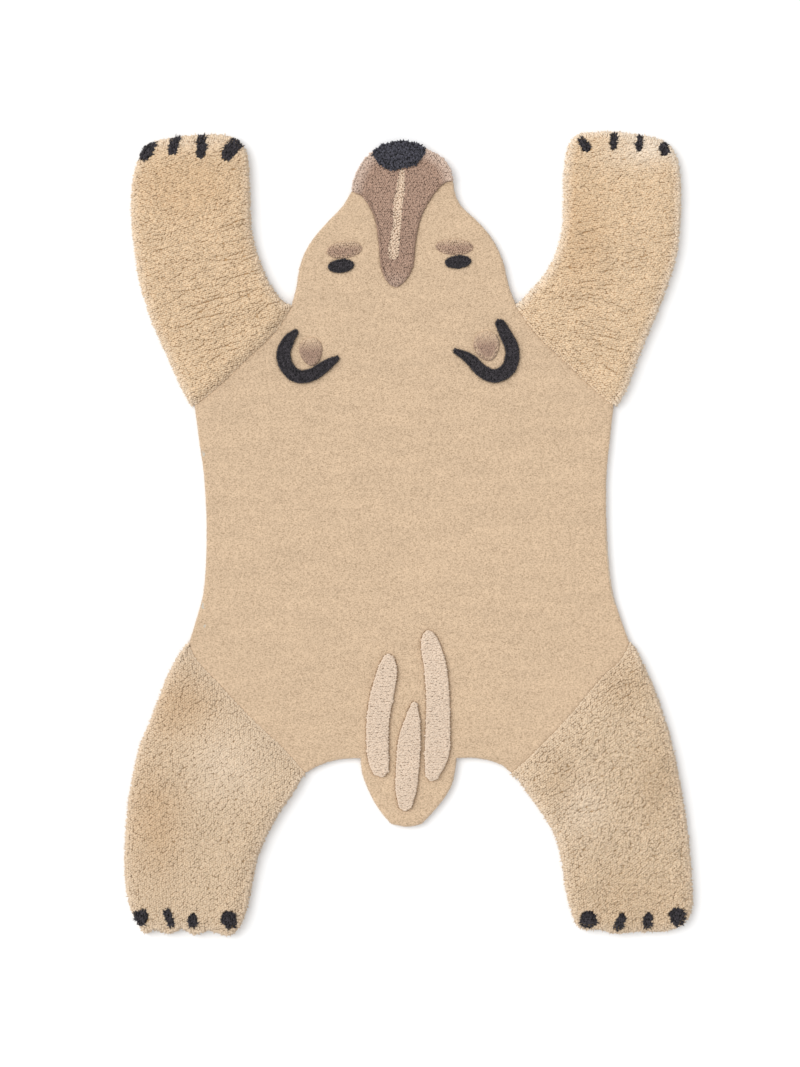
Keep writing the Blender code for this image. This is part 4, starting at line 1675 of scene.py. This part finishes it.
@dataclass
class ShortPile:
    """Face, body and tail: one cloth of short cut pile with pockets for the motifs.

    Attributes:
        pitch: The distance from point to point of the pile's surface.
        grain: How uneven the cut ends are.
        wave: How the whole surface rises and falls.
        rows: How the rows of tufts rise and fall, which run from side to side.
        edging: How the surface sinks along its edges.
        groove: How far the pile is carved down beside a stroke.
        cut: How much deeper the carving goes right at the stroke.
        flank: How high its sides reach, which are painted darker than its top as painted shade.
        flank_shade: How much of the cut ends' colour they have; the rest is the root's painted
            shade.
        jitter: How far out of line a point of the surface may lie, as a share of the pitch.
        seed: The start of its random numbers.
        inset: How far inside the rim its tufts are rooted.
        radius: The radius of such a tuft.
        rim_pitch: The distance from tuft to tuft along the rim.
        rim: The rows of tufts at the rim.
        SLIVER: The area under which a face at the rim has no width.
    """

    SLIVER = 0.5 * MM * MM

    pitch: float = 3.25 * MM
    grain: float = 0.55 * MM
    wave: Wave = Wave(5.0, 0.11, 0.5 * MM)
    rows: Wave = Wave(6.0, 0.009 / 0.35, 0.25 * MM, 0.009)
    edging: Wave = Wave(12.0, 0.03, 0.2 * MM)
    groove: float = 0.7 * MM
    cut: float = 0.35 * MM
    flank: float = 9 * MM
    flank_shade: float = 0.55
    jitter: float = 0.24
    seed: int = 7
    inset: float = 0.5 * MM
    radius: float = 1.5 * MM
    rim_pitch: float = 2.9 * MM
    rim: tuple[RimRow, ...] = (
        RimRow(9.6 * MM, 1.4 * MM, 2.3 * MM),
        RimRow(6.4 * MM, 0.2 * MM, 3.1 * MM),
        RimRow(3.4 * MM, -0.6 * MM, 3.1 * MM),
    )

    def build(self) -> bpy.types.Object:
        """Builds the cloth.

        Returns:
            The piece.
        """
        self.random = np.random.default_rng(self.seed)
        mesh = GROUND.mesh.copy()
        self._divide_edges(mesh)
        top = self._top_faces(mesh)
        loops = boundary_loops(mesh, top)
        bmesh.ops.delete(mesh, geom=[face for face in mesh.faces if face in top], context="FACES")
        self._weave_skin(mesh, loops)
        tufts = Tufts(SMALL_TUFT, self.seed + 1)
        self._cover_rim(tufts, counterclockwise(max(loops, key=len)))
        mesh.normal_update()
        mesh.verts.index_update()
        # Painted shade: the cloth's sides get less of the cut ends' colour and more of the root's.
        flanks = [vertex.co.z <= self.flank for vertex in mesh.verts]
        heights = np.where(flanks, self.flank_shade, 1.0)
        values = {"height": heights, "tint": self.random.uniform(0, 1, len(mesh.verts))}
        under = [f.index for f in mesh.faces if f.normal.z < -0.9 and f.calc_center_median().z < MM]
        piece = dressed("short_pile", "ground", Slot.BODY, mesh, (tufts,), values)
        piece.data.materials.append(BackingCloth().material())
        for index in under:
            piece.data.polygons[index].material_index = 1
        return piece

    @staticmethod
    def _top_faces(mesh: bmesh.types.BMesh) -> set[bmesh.types.BMFace]:
        """Finds the level faces at the pile's top.

        Args:
            mesh: The cloth.

        Returns:
            The faces.
        """
        lowest = GROUND.high.z - 0.1 * MM
        level_faces = (face for face in mesh.faces if face.normal.z > 0.9)
        return {face for face in level_faces if all(v.co.z > lowest for v in face.verts)}

    def _divide_edges(self, mesh: bmesh.types.BMesh) -> None:
        """Divides the edge of the top to the surface's pitch.

        Args:
            mesh: The cloth.
        """
        top = self._top_faces(mesh)
        groups: dict[int, list[bmesh.types.BMEdge]] = {}
        for edge in mesh.edges:
            if sum(face in top for face in edge.link_faces) == 1:
                groups.setdefault(round(edge.calc_length() / self.pitch) - 1, []).append(edge)
        for cuts, edges in groups.items():
            if cuts > 0:
                bmesh.ops.subdivide_edges(mesh, edges=edges, cuts=cuts)
        mesh.normal_update()

    def _weave_skin(
        self, mesh: bmesh.types.BMesh, loops: list[list[bmesh.types.BMVert]]
    ) -> None:
        """Fills the top with a fine uneven surface.

        Args:
            mesh: The cloth, with its top taken off.
            loops: The loops round the top.
        """
        rims = [vertex for loop in loops for vertex in loop]
        number = {vertex: index for index, vertex in enumerate(rims)}
        following = (pair for loop in loops for pair in zip(loop, loop[1:] + loop[:1]))
        constraints = [(number[first], number[second]) for first, second in following]
        carved = [share for loop in loops for share in [self._is_carved(loop)] * len(loop)]
        edge_tree = plan_tree(vertex.co for vertex in rims)
        places = [vertex.co.xy for vertex in rims]
        near_edge = []
        lattice = Lattice(self.pitch, 0.0, self.jitter)
        for x, y in lattice.places(GROUND.low, GROUND.high, self.random):
            _, index, away = edge_tree.find((x, y, 0.0))
            if away >= 0.62 * self.pitch and self._on_top(x, y):
                places.append(Vector((x, y)))
                near_edge.append(carved[index] * max(0.0, 1.0 - away / (5.0 * MM)) ** 2)
        points, _, faces, sources, _, _ = delaunay_2d_cdt(places, constraints, [], 0, 1e-7)
        made = []
        for place, source in zip(points, sources):
            first = source[0] if source else None
            if first is not None and first < len(rims):
                made.append(rims[first])
            else:
                lowered = near_edge[first - len(rims)] if first is not None else 0.0
                made.append(mesh.verts.new(self._surface(place, lowered)))
        for corners in faces:
            middle = sum((points[c] for c in corners), Vector((0.0, 0.0))) / len(corners)
            face = [made[c] for c in corners]
            if self._on_top(middle.x, middle.y) and mesh.faces.get(face) is None:
                mesh.faces.new(face)
        self._drop_slivers(mesh)
        for vertex, share in zip(rims, carved):
            vertex.co.z -= share * self.cut + self.edging.height + self.edging.at(vertex.co)

    def _drop_slivers(self, mesh: bmesh.types.BMesh) -> None:
        """Removes faces of no width that lie outside a straight edge.

        Args:
            mesh: The cloth.
        """
        while True:
            rims = [edge for edge in mesh.edges if len(edge.link_faces) == 1]
            outer = dict.fromkeys(edge.link_faces[0] for edge in rims)
            thin = [face for face in outer if face.calc_area() < self.SLIVER]
            if not thin:
                return
            bmesh.ops.delete(mesh, geom=thin, context="FACES")

    @staticmethod
    def _is_carved(loop: list[bmesh.types.BMVert]) -> bool:
        """True where the pile is carved along an edge, as it is round the strokes."""
        place = loop[0].co - SKY * 2 * MM
        return any(Solid(name).tree.find_nearest(place)[3] < 1.5 * MM for name in STROKES)

    @staticmethod
    def _on_top(x: float, y: float) -> bool:
        """True where the pile's level top is."""
        hit = GROUND.top(x, y)
        return hit is not None and hit[0] > GROUND.high.z - 0.05 * MM

    def _surface(self, place: Vector, carved: float) -> tuple[float, float, float]:
        """Finds one point of the surface.

        Args:
            place: Where it is in plan.
            carved: How deep the pile is carved there, from 0 to 1.

        Returns:
            The point.
        """
        point = Vector((place.x, place.y, 0.0))
        height = GROUND.high.z + self.random.uniform(-self.grain, self.grain)
        height += self.wave.at(point) + self.rows.at(point) - self.groove * carved
        return (place.x, place.y, height)

    def _cover_rim(self, tufts: Tufts, loop: list[Vector]) -> None:
        """Adds short tufts round the cloth's free rim.

        Args:
            tufts: The group that takes them.
            loop: The rim.
        """
        covers = [Solid(name).tree for name in (*LEGS, "muzzle")]
        for row in self.rim:
            for point, out in walk(loop, self.rim_pitch):
                ahead = flat(point) + SKY * 6 * MM + out * 2.0 * MM
                if any(tree.find_nearest(ahead)[3] < 3.2 * MM for tree in covers):
                    continue
                root = flat(point) + SKY * row.height - out * self.inset
                tip = root + out * (row.reach + self.inset + self.random.normal(0.0, 0.3 * MM))
                tip.z += row.rise + self.random.normal(0.0, 0.25 * MM)
                tip.z = max(tip.z, 0.8 * MM)
                size = self.radius * self.random.uniform(0.85, 1.15)
                # Rim tufts take the worn colour as a painted highlight.
                tufts.add(root, tip, size, self.random.uniform(0, 1), 0.8)


# ---------------------------------------------------------------------------------------
# Studio
# ---------------------------------------------------------------------------------------


@dataclass(frozen=True)
class Studio:
    """A plain pale floor, soft light from the upper left, and a camera straight above.

    Attributes:
        middle: The place on the floor at the middle of the picture.
        height: The length of floor that the picture's height takes in.
        lens: The camera's focal length in millimetres.
        sensor: The width of its sensor in millimetres.
        level: The height above the floor that is true to scale.
        sky: The strength of the even light from all sides.
        key: The strength of the soft light.
        spread: How broad that light is, in degrees.
        key_from: Where it comes from.
        reach: How far the floor reaches.
        grey: How light the floor is.
        gap: How far it lies under the rug, so that the two aren't one plane.
    """

    middle: tuple[float, float] = (-0.0147, 0.0009)
    height: float = 1.8513
    lens: float = 85.0
    sensor: float = 36.0
    level: float = 0.012
    sky: float = 0.86
    key: float = 1.84
    spread: float = 48.0
    key_from: tuple[float, float, float] = (-1.0, 0.45, 1.0)
    reach: float = 12.0
    grey: float = 0.93
    gap: float = 0.2 * MM

    def build(self) -> None:
        """Builds floor, light and camera."""
        self._floor()
        self._light()
        self._camera()

    def _floor(self) -> None:
        """Lays a broad pale sheet that isn't part of the rug."""
        mesh = bmesh.new()
        bmesh.ops.create_grid(mesh, x_segments=1, y_segments=1, size=self.reach)
        bmesh.ops.translate(mesh, verts=mesh.verts, vec=(0.0, 0.0, -self.gap))
        data = bpy.data.meshes.new("studio_floor")
        mesh.to_mesh(data)
        mesh.free()
        sockets = {"Base Color": opaque((self.grey,) * 3), "Roughness": 0.9}
        data.materials.append(Graph("studio_floor").finish(sockets))
        place_in_scene("studio_floor", data)

    def _light(self) -> None:
        """Sets even light from the whole sky, and one broad soft light from the left."""
        world = bpy.data.worlds.new("studio")
        world.use_nodes = True
        background = world.node_tree.nodes["Background"]
        background.inputs["Color"].default_value = opaque(WHITE)
        background.inputs["Strength"].default_value = self.sky
        bpy.context.scene.world = world
        lamp = bpy.data.lights.new("soft_light", "SUN")
        lamp.energy = self.key
        lamp.angle = math.radians(self.spread)
        holder = place_in_scene("soft_light", lamp)
        holder.location = self.key_from
        holder.rotation_euler = holder.location.to_track_quat("Z", "Y").to_euler()

    def _camera(self) -> None:
        """Hangs a camera that looks straight down, with the nose at the top."""
        lens = bpy.data.cameras.new("camera")
        lens.lens = self.lens
        lens.sensor_width = self.sensor
        camera = place_in_scene("camera", lens)
        distance = self.lens / self.sensor * self.height
        camera.location = (*self.middle, self.level + distance)
        scene = bpy.context.scene
        scene.camera = camera
        scene.view_settings.view_transform = "Standard"
        scene.view_settings.look = "None"


# ---------------------------------------------------------------------------------------
# The rug
# ---------------------------------------------------------------------------------------

STROKES = ("tail_stroke_1", "tail_stroke_2", "tail_stroke_3")
LEGS = {
    "foreleg_left": Nap(
        lie=18.0, swell=9 * MM, pitch=4.3 * MM, stretch=1.26, ridge=0.60 * MM, dropped=0.07,
        seam_highlight=0.42, dyed=0.42, wool=replace(FORELEG_WOOL, name="foreleg_wool_left", streak=18.0),
        partings=(
            Parting(Field((-0.330, 0.430), (0.100, 0.085), 18.0), 46, 105 * MM, 7.0),
            Parting(Field((-0.448, 0.475), (0.030, 0.090), 4.0), 16, 32 * MM),
            Parting(Field((-0.300, 0.344), (0.080, 0.050), 24.0), 16, 70 * MM),
            Parting(Field((-0.387, 0.596), (0.080, 0.060), 30.0), 16, 18 * MM, 50.0),
        ),
        darker=(Field((-0.387, 0.600), (0.070, 0.045)),),
        paler=(Field((-0.375, 0.682), (0.080, 0.018)),),
    ),
    "foreleg_right": Nap(
        lie=8.0, swell=12 * MM, pitch=4.3 * MM, stretch=1.26, ridge=0.60 * MM, dropped=0.045,
        seam_highlight=0.15, dyed=0.30,
        wool=replace(
            FORELEG_WOOL, name="foreleg_wool_right", streak=8.0, edging=(0.80, 0.68, 0.545)
        ),
        partings=(
            Parting(Field((0.333, 0.475), (0.080, 0.040), 14.0), 26, 60 * MM, 18.0),
            Parting(Field((0.281, 0.388), (0.070, 0.040), -14.0), 26, 70 * MM),
            Parting(Field((0.316, 0.327), (0.050, 0.040), -22.0), 18, 60 * MM),
            Parting(Field((0.368, 0.579), (0.080, 0.070), 50.0), 16, 16 * MM, 30.0),
        ),
        darker=(Field((0.300, 0.520), (0.040, 0.090)),),
        paler=(Field((0.425, 0.672), (0.075, 0.030), 8.0),),
    ),
    "hindleg_left": Nap(
        lie=36.0, swell=32 * MM, pitch=4.4 * MM, stretch=1.1, ridge=0.10 * MM, dropped=0.03,
        seam_highlight=0.4, dyed=0.10,
        wool=replace(
            HINDLEG_WOOL, name="hindleg_wool_left", streak=36.0, speck=0.17, grain=0.0014,
            spread=0.08, dye=(0.93, 0.865, 0.79),
        ),
        partings=(
            Parting(Field((-0.387, -0.289), (0.060, 0.060), 30.0), 18, 34 * MM, 20.0),
            Parting(Field((-0.385, -0.455), (0.110, 0.190), 36.0), 220, 16 * MM, 25.0),
        ),
        darker=(
            Field((-0.439, -0.497), (0.045, 0.090)),
            Field((-0.396, -0.298), (0.055, 0.050)),
        ),
        paler=(Field((-0.320, -0.400), (0.060, 0.070), 45.0),),
    ),
    "hindleg_right": Nap(
        lie=38.0, swell=28 * MM, pitch=4.4 * MM, stretch=1.15, ridge=0.35 * MM, dropped=0.12,
        seam_highlight=0.3, dyed=0.12,
        wool=replace(
            HINDLEG_WOOL, name="hindleg_wool_right", streak=38.0, dye=(0.915, 0.885, 0.845),
            spread=0.14,
        ),
        partings=(
            Parting(Field((0.342, -0.271), (0.050, 0.040), 25.0), 18, 50 * MM),
            Parting(Field((0.264, -0.428), (0.050, 0.070), 30.0), 40, 40 * MM),
            Parting(Field((0.368, -0.470), (0.110, 0.190), 38.0), 260, 16 * MM, 24.0),
        ),
        darker=(
            Field((0.378, -0.260), (0.045, 0.045)),
            Field((0.430, -0.430), (0.040, 0.070)),
            Field((0.264, -0.428), (0.030, 0.040)),
            Field((0.385, -0.640), (0.100, 0.070)),
        ),
        paler=(Field((0.300, -0.470), (0.040, 0.050)),),
    ),
}


def pile_areas() -> list[PileArea]:
    """Lists the small pile areas.

    Returns:
        The areas, in the order in which they are built.
    """
    rim = (RimRow(6.0 * MM, -1.0 * MM, 3.6 * MM), RimRow(9.5 * MM, 0.4 * MM, 3.6 * MM))
    muzzle = PileArea(
        "muzzle", Slot.TAUPE, 201, rim=rim, neighbours=("nose", "blaze"), rim_share=1.0,
        fade=22 * MM, frayed=0.75, lap=1.6 * MM, proud=0.9 * MM, deep=0.45, pale_foot=0.3,
    )
    nose = PileArea(
        "nose", Slot.NOSE, 202, rim=rim, neighbours=("muzzle",), depth=4 * MM, ragged=1.2 * MM,
        frayed=0.45, stray=5.0 * MM, strand=1.7 * MM,
    )
    blaze = PileArea(
        "blaze", Slot.BLAZE, 203, pitch=3.0 * MM, radius=1.9 * MM, ragged=1.4 * MM, frayed=0.4,
        strand=1.3 * MM, stray=2.6 * MM, sway=Wave(50.0, 0.012, 3.0 * MM), deep=0.9,
    )
    brow = PileArea(
        "brow", Slot.TAUPE, 210, depth=2.5 * MM, lap=1.8 * MM, proud=0.3 * MM, rim_share=0.5,
        fade=5 * MM, pale_top=1.0, deep=0.55, wool=BROW_WOOL,
    )
    inner_ear = replace(
        brow, node="inner_ear", seed=212, depth=1.7 * MM, radius=2.6 * MM,
        unevenness=0.2 * MM, lap=2.5 * MM, proud=0.0, wool=EAR_WOOL,
    )
    ear_fading = {"left": (0.30, 4.0 * MM), "right": (0.80, 6.0 * MM)}
    eye = PileArea(
        "eye", Slot.DARK, 214, pitch=3.0 * MM, radius=1.9 * MM, splay=0.2 * MM, lap=0.0,
        frayed=0.5, strand=1.4 * MM, stray=2.6 * MM,
    )
    stroke = PileArea(
        "tail_stroke", Slot.PALE, 220, pitch=3.3 * MM, radius=2.5 * MM, stretch=1.35,
        depth=3.0 * MM, unevenness=0.12 * MM, ragged=0.25 * MM, splay=0.0, lap=0.2 * MM,
        rib=0.3 * MM,
    )
    areas = [muzzle, nose, blaze]
    for side, (share, fade) in ear_fading.items():
        areas += [
            replace(brow, node=f"brow_{side}"),
            replace(inner_ear, node=f"inner_ear_{side}", rim_share=share, fade=fade),
            replace(eye, node=f"eye_{side}"),
            replace(eye, node=f"ear_{side}", seed=216),
        ]
    for number, name in enumerate(STROKES, 1):
        areas.append(replace(stroke, node=name, seed=stroke.seed + number))
    return areas


def main() -> None:
    """Builds the studio and every piece of the rug."""
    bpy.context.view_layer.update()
    Studio().build()
    cloth = ShortPile().build()
    for order, (node, nap) in enumerate(LEGS.items()):
        leg = ShagLeg(node, nap, seed=100 + 10 * order)
        leg.build()
        for mark in leg.marks:
            ClawPile(mark, leg, seed=300 + 10 * order + mark.number).build()
    for area in pile_areas():
        area.build()


if __name__ == "__main__":
    main()
